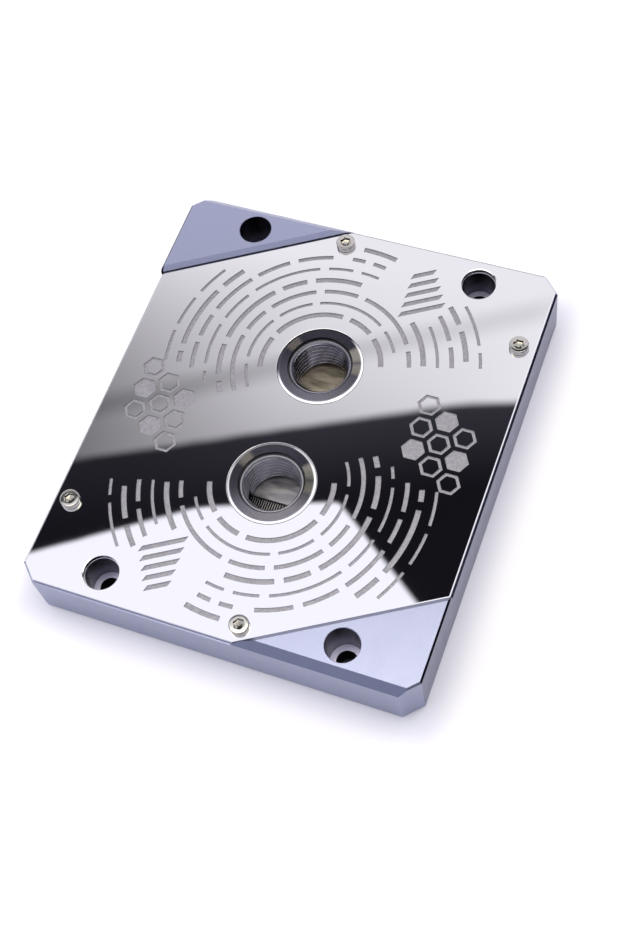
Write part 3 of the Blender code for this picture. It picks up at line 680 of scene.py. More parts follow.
def from_port(tree, x, y):
    """The level vector from the nearer port's axis, which stands on the Y axis on either side of the
    middle."""
    side = add_node(tree, "Math", [y], operation="SIGN")
    axis_y = add_node(tree, "Math", [side, float(abs(PORTS[0][1]))], operation="MULTIPLY")
    off_y = add_node(tree, "Math", [y, axis_y], operation="SUBTRACT")
    return add_node(tree, "CombineXYZ", [x, off_y])


def towards(tree, offset, degrees):
    """The cosine of the angle between the offset and a level direction: the dot product of their unit
    vectors."""
    unit = add_node(tree, "VectorMath", [offset], operation="NORMALIZE")
    way = (cos(radians(degrees)), sin(radians(degrees)), 0.0)
    return add_node(tree, "VectorMath", [unit, way], operation="DOT_PRODUCT")


def ring_painted_reflection(tree, offset):
    """The ring face's painted reflection by direction: a slow change from back to front, and each fan over it.
    """
    front = add_node(tree, "MapRange", [towards(tree, offset, RING_FRONT), *RING_ENDS])
    tone = add_node(tree, "Mix", {0: front, 6: "#34343C", 7: "#66656E"})
    for degrees, edge, middle, colour in PAINTED_FANS:
        fan = add_node(tree, "MapRange", [towards(tree, offset, degrees), edge, middle])
        tone = add_node(tree, "Mix", {0: fan, 6: tone, 7: colour})
    return tone


print("fans at degrees:", [fan[0] for fan in PAINTED_FANS])

# %% Turned nickel plate
TURNING_FEED = 0.22 * MM
TURNING_DEPTH = 0.005 * MM
# The outlet's rim is painted at least this share of its highlight all round, as painted light.
OUTLET_RIM_LIGHT = 0.62
DULLER_BORE = 0.22


def rim_painted_highlight(tree, offset, on_outlet):
    """A painted highlight: bright in front and dark at the back, but at least the outlet's share on its rim.
    """
    bright = add_node(tree, "MapRange", [towards(tree, offset, RIM_FRONT), *RIM_ENDS])
    painted_outlet_light = add_node(tree, "Math", [on_outlet, OUTLET_RIM_LIGHT], operation="MULTIPLY")
    bright = add_node(tree, "Math", [bright, painted_outlet_light], operation="MAXIMUM")
    return add_node(tree, "Mix", {0: bright, 6: "#3C3C42", 7: "#E6E5E6"})


def turned_nickel():
    material, tree = new_material("turned_nickel_plated_brass")
    _, x, y, z = coordinates(tree)
    offset = from_port(tree, x, y)
    distance = add_node(tree, "VectorMath", [offset], operation="LENGTH")
    steps = (
        CREST_ENDS,
        (THREAD_ROOT - RING_SOFT, THREAD_ROOT + RING_SOFT),
        (LIP_RADIUS - RING_SOFT, LIP_RADIUS + RING_SOFT),
        (PORT_RECESS_RADIUS - RING_SOFT, PORT_RECESS_RADIUS + RING_SOFT),
        (RIM_RADIUS - RIM_SOFT, RIM_RADIUS + RIM_SOFT),
    )
    on_flank, on_lip, on_recess, on_ring, on_rim = [
        add_node(tree, "MapRange", [distance, *step]) for step in steps
    ]
    on_outlet = add_node(tree, "MapRange", [y, -MM, MM, 1.0, 0.0])
    near_top = add_node(tree, "Math", [z, THREAD_TOP - THREAD_MOUTH], operation="GREATER_THAN")
    in_bore = add_node(tree, "Math", [distance, THREAD_ROOT], operation="LESS_THAN")
    on_mouth = add_node(tree, "Math", [near_top, in_bore], operation="MULTIPLY")

    # Painted light and shade in the bore: crests painted bright as highlights between dark flanks, the
    # outlet's flanks painted paler, the lip painted pale and the recess painted in shade; the thread's mouth
    # is darker.
    flank = add_node(tree, "Mix", {0: on_outlet, 6: "#55545D", 7: "#7C7B82"})
    tone = add_node(tree, "Mix", {0: on_flank, 6: "#BDBCC5", 7: flank})
    layers = (
        (on_mouth, "#4A4A52"),
        (on_lip, "#8E8D94"),
        (on_recess, "#3C3C40"),
        (on_ring, ring_painted_reflection(tree, offset)),
        (on_rim, rim_painted_highlight(tree, offset, on_outlet)),
    )
    for share, colour in layers:
        tone = add_node(tree, "Mix", {0: share, 6: tone, 7: colour})

    duller = add_node(tree, "MapRange", [on_recess, 0.0, 1.0, DULLER_BORE, 0.0])
    duller = add_node(tree, "Math", [on_outlet, duller], operation="MULTIPLY")
    roughness = add_node(tree, "MapRange", [on_rim, 0.0, 1.0, 0.20, 0.08])
    roughness = add_node(tree, "Math", [roughness, duller], operation="ADD")
    phase = add_node(tree, "Math", [distance, 2 * pi / TURNING_FEED], operation="MULTIPLY")
    feed = add_node(tree, "Math", [phase], operation="SINE")
    off_rim = add_node(tree, "MapRange", [on_rim, 0.0, 1.0, 1.0, 0.0])
    feed = add_node(tree, "Math", [feed, off_rim], operation="MULTIPLY")
    return finished_metal(material, tone, roughness, feed, TURNING_DEPTH)


NICKEL = turned_nickel()
print(NICKEL.name, "nodes:", len(NICKEL.node_tree.nodes))

# %% [markdown]
# The cold plate is copper under lapped nickel, so its contact face is flat and softly bright. Its fins were
# cut with a stack of thin saws. Seen down the port, each fin is a thin pale line between black gaps: the gaps
# and the edges of each fin's top are painted black as shade. The line is a cosine across the fins, one wave
# to the pitch, and all below the fins' tops is painted black.

# %% Lapped nickel on copper
FIN_PITCH = 0.53 * MM
FIN_FOOT = 0.5 * MM
# Painted shade: the black of the gaps between the fins and of the edges of their tops.
GAP_BLACK = "#08080A"
GAP_MOUTH = (FIN_TOP - 0.06 * MM, FIN_TOP - 0.01 * MM)
FIN_LINE_EDGE = (0.65, 1.0)


def lapped_nickel():
    material, tree = new_material("lapped_nickel_plated_copper")
    tone = add_node(tree, "Mix", {0: grain(tree, 5 * MM), 6: "#BEBDC0", 7: "#CCCBCD"})
    _, x, _, height = coordinates(tree)
    on_fins = add_node(tree, "Math", [height, FIN_FOOT], operation="GREATER_THAN")
    under_top = add_node(tree, "MapRange", [height, *GAP_MOUTH, 1.0, 0.0])
    in_gaps = add_node(tree, "Math", [under_top, on_fins], operation="MULTIPLY")
    # Painted shade on the edges of each fin's top, leaving a pale line along its middle.
    phase = add_node(tree, "Math", [x, 2 * pi / FIN_PITCH], operation="MULTIPLY")
    wave = add_node(tree, "Math", [phase], operation="COSINE")
    off_line = add_node(tree, "MapRange", [wave, *FIN_LINE_EDGE, 1.0, 0.0])
    shaded_fin_edges = add_node(tree, "Math", [on_fins, off_line], operation="MULTIPLY")
    black = add_node(tree, "Math", [in_gaps, shaded_fin_edges], operation="MAXIMUM")
    tone = add_node(tree, "Mix", {0: black, 6: tone, 7: GAP_BLACK})
    roughness = add_node(tree, "MapRange", [on_fins, 0.0, 1.0, 0.20, 0.45])
    scratches = grain(tree, 0.4 * MM, 2.0, (0.05, 1.0, 1.0))
    return finished_metal(material, tone, roughness, scratches, 0.0015 * MM)


LAPPED = lapped_nickel()
print(LAPPED.name, "nodes:", len(LAPPED.node_tree.nodes))

# %% [markdown]
# The jet plate is cut from brushed stainless strip. Brushing draws every mark out along one way, so both the
# tone and the bump are noise that is stretched along X. Under the inlet the water has stained it warm, in
# broad streaks, and under the outlet it is still a clean grey.

# %% Brushed stainless strip
STAIN_ENDS = (-2 * MM, 4 * MM)


def brushed_strip():
    material, tree = new_material("brushed_stainless_strip")
    streaks = grain(tree, 1.6 * MM, 2.0, (0.22, 1.0, 1.0))
    streaks = add_node(tree, "MapRange", [streaks, *MOTTLE_ENDS])
    _, _, y, _ = coordinates(tree)
    clean, stained = [
        add_node(tree, "Mix", {0: streaks, 6: dark, 7: light})
        for dark, light in (("#919095", "#A6A5A9"), ("#9C9782", "#B4AA9C"))
    ]
    stain = add_node(tree, "MapRange", [y, *STAIN_ENDS])
    tone = add_node(tree, "Mix", {0: stain, 6: clean, 7: stained})
    roughness = varied(tree, streaks, 0.30, 0.38)
    brushing = grain(tree, 0.3 * MM, 1.0, (0.05, 1.0, 1.0))
    return finished_metal(material, tone, roughness, brushing, 0.0004 * MM)


STRIP = brushed_strip()
print(STRIP.name, "nodes:", len(STRIP.node_tree.nodes))

# %% [markdown]
# The screws are bright stainless steel, turned and tumbled, so they gleam with small soft unevenness. A
# socket is pressed in with a broach, and its walls are painted a little darker as shade. One function makes
# both, from a name and tones.


# %% Screw steel
def screw_steel(name, dark, light):
    material, tree = new_material(name)
    tone = add_node(tree, "Mix", {0: grain(tree, 1.5 * MM), 6: dark, 7: light})
    roughness = varied(tree, grain(tree, 1 * MM), 0.10, 0.15)
    return finished_metal(material, tone, roughness, grain(tree, 0.3 * MM, 1.0), 0.002 * MM)


SCREW_STEEL = screw_steel("bright_stainless_screw", "#A5A39F", "#B2B0AC")
# The socket's walls are painted darker as shade.
SOCKET_SHADE_STEEL = screw_steel("socket_with_painted_shade", "#85837B", "#9C9A91")
print(SCREW_STEEL.name, "nodes:", len(SCREW_STEEL.node_tree.nodes))

# %% [markdown]
# The seal is moulded nitrile rubber: nearly black, matt, with a fine skin left by the mould. Its refractive
# index is about 1.52. It only shows if the block is taken apart.


# %% Seal rubber
def seal_rubber():
    material, tree = new_material("moulded_nitrile_rubber")
    tone = add_node(tree, "Mix", {0: grain(tree, 0.8 * MM), 6: "#18181A", 7: "#242426"})
    bump = add_node(tree, "Bump", {"Height": grain(tree, 0.3 * MM), "Distance": 0.01 * MM})
    finish = {"Base Color": tone, "Roughness": 0.6, "IOR": 1.52, "Normal": bump}
    add_node(tree, "OutputMaterial", {"Surface": add_node(tree, "BsdfPrincipled", finish)})
    return material


RUBBER = seal_rubber()
print(RUBBER.name, "nodes:", len(RUBBER.node_tree.nodes))

# %% [markdown]
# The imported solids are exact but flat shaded, with every facet showing. A milled or moulded piece whose form
# is already right is copied, its loose triangles are merged, and its shading is made smooth except at real
# edges.

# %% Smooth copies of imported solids
SHARP_EDGE = radians(20)
CORE_SHARP_EDGE = radians(10)
MERGE_DISTANCE = 1e-6


def finish_piece(piece, materials, node, sharp=SHARP_EDGE):
    """Gives a piece its materials, smooth shading up to the sharp edges, and its place in the frame."""
    for material in materials:
        piece.data.materials.append(material)
    piece.data.shade_smooth()
    piece.data.set_sharp_from_angle(angle=sharp)
    bpy.context.scene.collection.objects.link(piece)
    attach(piece, "root")
    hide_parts(node)
    print(piece.name, len(piece.data.polygons), "faces")


def smooth_copy(name, node, material, sharp=SHARP_EDGE):
    """The node's mesh with its loose triangles merged and its flat normals dropped, as a piece that replaces
    it."""
    bm = bmesh.new()
    bm.from_mesh(frame["nodes"][node].data)
    bmesh.ops.remove_doubles(bm, verts=bm.verts, dist=MERGE_DISTANCE)
    bmesh.ops.recalc_face_normals(bm, faces=bm.faces)
    mesh = bpy.data.meshes.new(name)
    bm.to_mesh(mesh)
    bm.free()
    mesh.attributes.remove(mesh.attributes["custom_normal"])
    finish_piece(bpy.data.objects.new(name, mesh), [material], node, sharp=sharp)


smooth_copy("milled_frame", "frame_body", ANODISED)
smooth_copy("ported_core", "flow_core", NICKEL, CORE_SHARP_EDGE)
smooth_copy("finned_cold_plate", "cold_plate", LAPPED)
smooth_copy("jet_strip", "jet_plate", STRIP)
smooth_copy("seal_ring", "cold_plate_seal", RUBBER)

# %% [markdown]
# New pieces are grids of points: rows along a profile, columns round a path. Each is worked out as whole
# arrays, then one function turns the grids into a mesh, merges the points that meet, and turns the faces
# outwards.


# %% Helpers for grids
def grid_quads(rows, columns, first=0):
    """The quads of a grid whose last column meets its first, numbered row by row from first."""
    row, column = np.mgrid[0 : rows - 1, 0:columns]
    after = (column + 1) % columns
    near, far = row * columns, (row + 1) * columns
    corners = [near + column, near + after, far + after, far + column]
    return np.stack(corners, -1).reshape(-1, 4) + first


def closed_piece(name, points, faces, marks=None):
    """A mesh object of the points and faces, merged where they meet and with its faces turned outwards."""
    mesh = bpy.data.meshes.new(name)
    mesh.from_pydata(points.tolist(), [], [face.tolist() for face in faces])
    if marks is not None:
        mesh.polygons.foreach_set("material_index", marks.astype(np.int32))
    bm = bmesh.new()
    bm.from_mesh(mesh)
    bmesh.ops.remove_doubles(bm, verts=bm.verts, dist=MERGE_DISTANCE)
    bmesh.ops.recalc_face_normals(bm, faces=bm.faces)
    open_edges = sum(not edge.is_manifold for edge in bm.edges)
    bm.to_mesh(mesh)
    bm.free()
    print(name, "open edges:", open_edges)
    return bpy.data.objects.new(name, mesh)


def circle(centre, radius, steps):
    """Points round a circle, anticlockwise: the centre plus radius times cosine and sine of the angle."""
    angle = np.arange(steps) * 2 * pi / steps
    return np.stack([centre[0] + radius * np.cos(angle), centre[1] + radius * np.sin(angle)], -1)


print("quads of a grid of 3 rows and 4 columns:", len(grid_quads(3, 4)))

# %% [markdown]
# A socket screw is a turned shape whose hole has six sides. On a grid of profile rows and angle columns,
# each row's radius is a mix of a circle and a hexagon, so the head runs from round at its rim to six-sided
# in its socket.

# %% A screw from its profile
SCREW_COLUMNS = 48
SOCKET_BANDS = 3  # rows of faces that lie inside the socket


def hexagon_share(angle):
    """The radius of a hexagon with unit corners, by angle: cos 30 over the cosine of the angle off its
    flat."""
    return cos(pi / 6) / np.cos((angle % (pi / 3)) - pi / 6)


def screw_piece(name, node, profile, upside_down):
    """A screw whose profile lists radius, height below its top and hexagon share, placed in its node's
    box."""
    low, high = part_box(node)
    rows = np.array(profile) * [MM, MM, 1.0]
    angle = np.arange(SCREW_COLUMNS) * 2 * pi / SCREW_COLUMNS
    radius = rows[:, :1] * (1 - rows[:, 2:] + rows[:, 2:] * hexagon_share(angle))
    height = np.broadcast_to(-rows[:, 1:2], radius.shape)
    middle = (low + high) / 2
    top, way = (low.z, -1) if upside_down else (high.z, 1)
    points = np.stack(
        [middle.x + radius * np.cos(angle), middle.y + radius * np.sin(angle), top + way * height], -1
    )
    marks = np.repeat(np.arange(len(rows) - 1) < SOCKET_BANDS, SCREW_COLUMNS)
    piece = closed_piece(name, points.reshape(-1, 3), grid_quads(*radius.shape), marks)
    finish_piece(piece, [SCREW_STEEL, SOCKET_SHADE_STEEL], node)


print("hexagon radius over a flat:", round(float(hexagon_share(pi / 6)), 3))

# %% [markdown]
# Two kinds of screw differ only in their profiles, in millimetres. The plate's screws have a low round head
# with a rolled edge. The others are countersunk, and their head is a cone of 45 degrees under a narrow rim.
# Both have a socket with a drill point in its floor, and a point at the end of the shank.

# %% Screw profiles
SOCKET_MOUTH, SOCKET_FLOOR_EDGE, DRILL_POINT = 0.08, 0.05, 0.55
SHANK_POINT = 0.3
PLATE_HEAD, PLATE_HEAD_HEIGHT, PLATE_HEAD_ROLL, PLATE_SHANK = 2.15, 1.2, 0.28, 1.25
SUNK_HEAD, SUNK_RIM, SUNK_EDGE, SUNK_SHANK = 2.8, 0.2, 0.05, 1.5


def socket_rows(across, depth):
    """The socket from the drill point in its floor up to a small chamfer at its mouth."""
    corner = across / sqrt(3)
    return [
        (0.0, depth + DRILL_POINT, 0.0),
        (corner * 0.8, depth, 1.0),
        (corner, depth - SOCKET_FLOOR_EDGE, 1.0),
        (corner, SOCKET_MOUTH, 1.0),
        (corner + SOCKET_MOUTH, 0.0, 0.6),
    ]


def rounded_rows(outer, edge, steps=4):
    """A quarter turn from the flat top out to the side: edge radius times sine and one less cosine."""
    turn = np.linspace(0, pi / 2, steps + 1)
    return [(outer - edge + edge * sin(a), edge * (1 - cos(a)), 0.0) for a in turn]


def shank_rows(shank, length):
    return [(shank, length - SHANK_POINT, 0.0), (shank - SHANK_POINT, length, 0.0), (0.0, length, 0.0)]


def plate_screw_rows(length):
    return [
        *socket_rows(across=2.1, depth=0.9),
        *rounded_rows(PLATE_HEAD, PLATE_HEAD_ROLL),
        (PLATE_HEAD, PLATE_HEAD_HEIGHT, 0.0),
        (PLATE_SHANK, PLATE_HEAD_HEIGHT, 0.0),
        *shank_rows(PLATE_SHANK, length),
    ]


def sunk_screw_rows(length):
    return [
        *socket_rows(across=2.0, depth=1.0),
        (SUNK_HEAD - SUNK_EDGE, 0.0, 0.0),
        (SUNK_HEAD, SUNK_EDGE, 0.0),
        (SUNK_HEAD, SUNK_RIM, 0.0),
        (SUNK_SHANK, SUNK_RIM + SUNK_HEAD - SUNK_SHANK, 0.0),
        *shank_rows(SUNK_SHANK, length),
    ]


def screw_set(kind, count, rows_for, upside_down=False):
    for number in range(1, count + 1):
        node = f"{kind}_{number}"
        low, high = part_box(node)
        screw_piece(f"turned_{node}", node, rows_for((high.z - low.z) / MM), upside_down)


screw_set("plate_screw", 4, plate_screw_rows)
screw_set("core_screw", 4, sunk_screw_rows)
screw_set("cold_plate_screw", 8, sunk_screw_rows, upside_down=True)

# %% [markdown]
# A fitting screws into each port, so the bore has a pipe thread of 19 turns to the inch. The thread is a
# sleeve just inside the bore: its inner wall is a grid of angle and height whose radius follows a rounded
# vee that climbs one pitch each turn. Cutting a helix with a Boolean would take longer and leave slivers.

# %% A threaded sleeve
THREAD_PITCH = 1.337 * MM
SLEEVE_OUTER = 6.55 * MM
SLEEVE_EDGE = 0.05 * MM
THREAD_COLUMNS = 144
THREAD_ROWS_A_PITCH = 12
THREAD_FOOT = JET_TOP + 0.32 * MM
FLAT_TIP = 0.12
ROUNDING = 0.35


def thread_wall(angle, height):
    """The inner radius: a vee with flat tips, partly rounded by a smooth step, its depth worked out from the
    phase of angle plus height. At the mouth a cone takes over where it is wider."""
    phase = (angle / (2 * pi) + height / THREAD_PITCH) % 1.0
    vee = np.abs(2 * phase - 1)
    share = np.clip((vee - FLAT_TIP) / (1 - 2 * FLAT_TIP), 0, 1)
    rounded = share * share * (3 - 2 * share) * ROUNDING + share * (1 - ROUNDING)
    radius = THREAD_CREST + (THREAD_ROOT - THREAD_CREST) * rounded
    down = np.clip((THREAD_TOP - height) / THREAD_MOUTH, 0, 1)
    return np.maximum(radius, SLEEVE_OUTER - SLEEVE_EDGE - (SLEEVE_OUTER - THREAD_CREST) * down)


def thread_sleeve(name, centre):
    """A closed ring: the threaded wall going down, then the outer wall coming up, then back to the first
    row."""
    rows = int((THREAD_TOP - THREAD_FOOT) / THREAD_PITCH * THREAD_ROWS_A_PITCH)
    height = np.linspace(THREAD_TOP, THREAD_FOOT, rows)[:, None]
    angle = (np.arange(THREAD_COLUMNS) * 2 * pi / THREAD_COLUMNS)[None, :]
    inner = thread_wall(angle, height)
    radius = np.vstack([inner, np.full((2, THREAD_COLUMNS), SLEEVE_OUTER), inner[:1]])
    level = np.vstack([height, [[THREAD_FOOT], [THREAD_TOP]], height[:1]]) + 0 * angle
    points = np.stack([centre[0] + radius * np.cos(angle), centre[1] + radius * np.sin(angle), level], -1)
    return closed_piece(name, points.reshape(-1, 3), grid_quads(*radius.shape))


print("turns of thread:", round((THREAD_TOP - THREAD_FOOT) / THREAD_PITCH, 1))

# %% [markdown]
# Two water ways open into the bores from the side, and each cuts through the thread there. The box of each
# way is taken out of its sleeve with a Boolean, whose result replaces the sleeve's mesh.

# %% Threads with their water ways
INLET_WAY = ((-6.0 * MM, 0.0, 4.0 * MM), (6.0 * MM, 15.0 * MM, 8.0 * MM))
OUTLET_WAY = ((-10.0 * MM, -24.5 * MM, 4.0 * MM), (10.0 * MM, -15.0 * MM, 7.1 * MM))


def box_cutter(low, high):
    bm = bmesh.new()
    bmesh.ops.create_cube(bm, size=1.0)
    size = Vector(high) - Vector(low)
    bmesh.ops.scale(bm, vec=size, verts=bm.verts)
    bmesh.ops.translate(bm, vec=(Vector(high) + Vector(low)) / 2, verts=bm.verts)
    mesh = bpy.data.meshes.new("water_way_cutter")
    bm.to_mesh(mesh)
    bm.free()
    cutter = bpy.data.objects.new("water_way_cutter", mesh)
    bpy.context.scene.collection.objects.link(cutter)
    return cutter


def cut_away(piece, low, high):
    """Takes the box between two corners out of the piece, and puts the result in its mesh."""
    cutter = box_cutter(low, high)
    bpy.context.scene.collection.objects.link(piece)
    modifier = piece.modifiers.new("Water way", "BOOLEAN")
    modifier.operation = "DIFFERENCE"
    modifier.object = cutter
    bpy.context.view_layer.update()
    mesh = bpy.data.meshes.new_from_object(piece.evaluated_get(bpy.context.evaluated_depsgraph_get()))
    piece.modifiers.clear()
    bpy.context.scene.collection.objects.unlink(piece)
    piece.data = mesh
    bpy.data.objects.remove(cutter)


for name, centre, way in (("inlet_thread", PORTS[0], INLET_WAY), ("outlet_thread", PORTS[1], OUTLET_WAY)):
    sleeve = thread_sleeve(name, centre)
    cut_away(sleeve, *way)
    finish_piece(sleeve, [NICKEL], "flow_core")

# %% [markdown]
# The top plate needs its own surface, because an etched design has to sink into it. Every shape in it, and
# every hole, is a closed loop of points. These helpers make loops, move them in or out, and test points
# against them.


# %% Loops and tests
def arc_band(centre, radius, width, start, end):
    """A bent bar: the outer arc from start to end, then the inner arc back."""
    steps = max(3, int(abs(end - start) / radians(2.5)))
    angle = np.linspace(start, end, steps)
    outward = np.stack([np.cos(angle), np.sin(angle)], -1)
    outer = centre + (radius + width / 2) * outward
    inner = centre + (radius - width / 2) * outward[::-1]
    return np.vstack([outer, inner])


def slanted_bar(centre, length, width, direction, slant):
    """A parallelogram along a direction, its ends pushed apart by the slant."""
    along = np.array([cos(direction), sin(direction)])
    across = np.array([-along[1], along[0]])
    corners = [(-1, -1), (1, -1), (1, 1), (-1, 1)]
    offsets = [along * (a * length + b * slant) / 2 + across * b * width / 2 for a, b in corners]
    return np.array(centre) + np.array(offsets)


def inside(points, loop):
    """True for each point on the left of every edge of an anticlockwise convex loop."""
    ahead = np.roll(loop, -1, axis=0) - loop
    offset = points[:, None, :] - loop[None, :, :]
    return np.all(ahead[None, :, 0] * offset[..., 1] - ahead[None, :, 1] * offset[..., 0] > 0, axis=1)


def moved_out(loop, distance):
    """The loop with each corner moved to the right of travel: both edges' normals, added and scaled to the
    mitre."""
    ahead = np.roll(loop, -1, axis=0) - loop
    ahead /= np.linalg.norm(ahead, axis=1, keepdims=True)
    normal = np.stack([ahead[:, 1], -ahead[:, 0]], -1)
    before = np.roll(normal, 1, axis=0)
    mitre = (normal + before) / (1 + np.sum(normal * before, axis=1, keepdims=True))
    return loop + mitre * distance


def runs(mask):
    """The first and last place of each unbroken stretch of True."""
    padded = np.concatenate([[False], mask, [False]]).astype(int)
    change = np.diff(padded)
    return list(zip(np.flatnonzero(change == 1), np.flatnonzero(change == -1) - 1))


print("stretches of True:", runs(np.array([True, True, False, True])))

# %% [markdown]
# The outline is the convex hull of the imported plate's flat top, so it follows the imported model. The visual
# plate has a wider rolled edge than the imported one, and the hull is drawn in by the difference, which keeps
# the plate's full size.

# %% The plate's outline
PLATE_BEVEL = 0.28 * MM
LEAST_TURN = 0.01


def turn_at_corners(loop):
    """The sine of the turn at each corner: the cross product of the unit edges before and after it."""
    ahead = np.roll(loop, -1, axis=0) - loop
    ahead /= np.linalg.norm(ahead, axis=1, keepdims=True)
    before = np.roll(ahead, 1, axis=0)
    return before[:, 0] * ahead[:, 1] - before[:, 1] * ahead[:, 0]


def hull_of_top(node, level):
    """The corners of the node's flat top, anticlockwise, without those where its edge doesn't turn."""
    points = np.array([vert.co for vert in frame["nodes"][node].data.vertices])
    flat = np.unique(points[points[:, 2] > level - MERGE_DISTANCE][:, :2].round(7), axis=0)
    hull = flat[convex_hull_2d([Vector(point) for point in flat])]
    turn = turn_at_corners(hull)
    hull = hull[np.abs(turn) > LEAST_TURN]
    return hull if turn.sum() > 0 else hull[::-1]


TOP_HULL = hull_of_top("top_plate", PLATE_TOP)
PACKED_BEVEL = PLATE_HIGH.x - TOP_HULL[:, 0].max()
OUTLINE = moved_out(TOP_HULL, PACKED_BEVEL - PLATE_BEVEL)
print("plate outline corners:", len(OUTLINE), "packed bevel in mm:", round(PACKED_BEVEL / MM, 3))

# %% [markdown]
# The design is ripples that spread from both ports in broken rings, patches of honeycomb, and ranks of
# slanted bars: water, cooling fins and nothing that reads as words. It repeats at half a turn, as the block
# does. It keeps off the plate's edge, the ports, the mounting holes and the screws, and the ripples keep off
# the other motifs.

# %% Where the design may go
BLOCK_SLANT = radians(30)
BOSS_RADIUS = 9.60 * MM
SCREW_HEAD_RADIUS = PLATE_HEAD * MM
ETCH_MARGIN = 2.6 * MM
HOLE_MARGIN = 2.2 * MM
HONEYCOMB_CENTRE = np.array([31.0, 4.0]) * MM
HONEYCOMB_CLEAR = 11.0 * MM
BARS_CENTRE = np.array([-14.0, -40.0]) * MM
BARS_CLEAR = 9.0 * MM
RESERVED = [
    (way * centre, clear)
    for way in (1, -1)
    for centre, clear in ((HONEYCOMB_CENTRE, HONEYCOMB_CLEAR), (BARS_CENTRE, BARS_CLEAR))
]


def distance_from(points, centre):
    return np.linalg.norm(points - np.asarray(centre), axis=1)


def allowed(points, reserved=()):
    """True where a point keeps its margins from the plate's outline, the holes, the screws and what is
    reserved."""
    free = inside(points, moved_out(OUTLINE, -ETCH_MARGIN))
    keep_off = [(port, BOSS_RADIUS + HOLE_MARGIN) for port in PORTS]
    keep_off += [(hole, MOUNT_RADIUS + HOLE_MARGIN) for hole in PLATE_HOLES]
    keep_off += [(screw, HOLE_MARGIN + SCREW_HEAD_RADIUS) for screw in PLATE_SCREWS]
    for centre, radius in [*keep_off, *reserved]:
        free &= distance_from(points, centre) > radius
    return free


print("the plate's middle may be etched:", bool(allowed(np.zeros((1, 2)))[0]))

# %% [markdown]
# Each ring is walked in half-degree steps. A step is etched where it is allowed, where it falls on a dash of
# a repeating row of dashes and gaps, and where the other port is more than one ring farther away than its
# own.

# %% Ripples
RIPPLE_FIRST = 13.4 * MM
RIPPLE_PITCH = 3.1 * MM
RIPPLE_COUNT = 8
RIPPLE_WIDTHS = (1.2 * MM, 0.7 * MM, 1.0 * MM)
RIPPLE_STEP = radians(0.5)
RIPPLE_ENDS = (radians(15), radians(215))
DASHES = (11.0 * MM, 6.0 * MM, 16.0 * MM, 8.0 * MM)
DASH_GAP = 1.7 * MM
DASH_SHIFT = 4.7 * MM
SHORTEST_DASH = 2.5 * MM


def on_dash(distance):
    """True where the distance, repeated over the row of dashes and gaps, falls on a dash."""
    starts = np.cumsum([0.0] + [dash + DASH_GAP for dash in DASHES])
    place = distance % starts[-1]
    index = np.searchsorted(starts, place, side="right") - 1
    return place - starts[index] < np.array(DASHES)[index]


def ripples(centre, start, end):
    """Broken rings round a port between two angles, up to where the rings of the port across from it
    begin."""
    loops = []
    for ring in range(RIPPLE_COUNT):
        radius = RIPPLE_FIRST + ring * RIPPLE_PITCH
        width = RIPPLE_WIDTHS[ring % len(RIPPLE_WIDTHS)]
        angle = np.arange(start, end, RIPPLE_STEP)
        points = centre + radius * np.stack([np.cos(angle), np.sin(angle)], -1)
        free = allowed(points, RESERVED) & on_dash(radius * angle + ring * DASH_SHIFT)
        free &= distance_from(points, -centre) > radius + RIPPLE_PITCH
        for first, last in runs(free):
            if radius * (angle[last] - angle[first]) > SHORTEST_DASH:
                loops.append(arc_band(centre, radius, width, angle[first], angle[last]))
    return loops


RIPPLE_LOOPS = ripples(PORTS[0], *RIPPLE_ENDS)
print("ripple dashes:", len(RIPPLE_LOOPS))

# %% Honeycomb and bars
CELL_RADIUS = 2.7 * MM
CELL_PITCH = 5.6 * MM
CELL_WALL = 0.8 * MM
CELLS = ((0, 0), (1, 0), (0, 1), (-1, 1), (-1, 0), (0, -1), (1, -1), (-1, 2), (1, -2))
FILLED_CELLS = ((0, 1), (1, -1), (-1, 0))
BAR_COUNT = 6
BAR_PITCH = 2.3 * MM
BAR_WIDTH = 1.1 * MM
BAR_LENGTHS = (4.0 * MM, 10.0 * MM)


def honeycomb():
    """Six-sided cells on a triangular grid, some filled and the rest with a wall and a bare middle."""
    turn = np.array([[cos(BLOCK_SLANT), -sin(BLOCK_SLANT)], [sin(BLOCK_SLANT), cos(BLOCK_SLANT)]])
    quarter_turn = np.array([[0, 1], [-1, 0]])
    loops = []
    for cell in CELLS:
        place = np.array([cell[0] + cell[1] / 2, cell[1] * sqrt(3) / 2]) * CELL_PITCH
        centre = HONEYCOMB_CENTRE + turn @ place
        outer = circle((0, 0), CELL_RADIUS, 6) @ quarter_turn @ turn.T + centre
        if not allowed(outer).all():
            continue
        loops.append(outer)
        if cell not in FILLED_CELLS:
            loops.append(centre + (outer - centre) * (1 - CELL_WALL / CELL_RADIUS))
    return loops


def slanted_bars():
    """A rank of bars along the slanted walls, each longer than the last."""
    along = np.array([cos(BLOCK_SLANT), sin(BLOCK_SLANT)])
    across = np.array([-along[1], along[0]])
    lengths = np.linspace(*BAR_LENGTHS, BAR_COUNT)
    loops = []
    for number, length in enumerate(lengths):
        row = number - (BAR_COUNT - 1) / 2
        centre = BARS_CENTRE + across * row * BAR_PITCH + along * (length - BAR_LENGTHS[1]) / 2
        loop = slanted_bar(centre, length, BAR_WIDTH, BLOCK_SLANT, BAR_WIDTH)
        if allowed(loop).all():
            loops.append(loop)
    return loops


HALF_DESIGN = [*RIPPLE_LOOPS, *honeycomb(), *slanted_bars()]
DESIGN = [*HALF_DESIGN, *[-loop for loop in HALF_DESIGN]]
print("etched loops:", len(DESIGN))

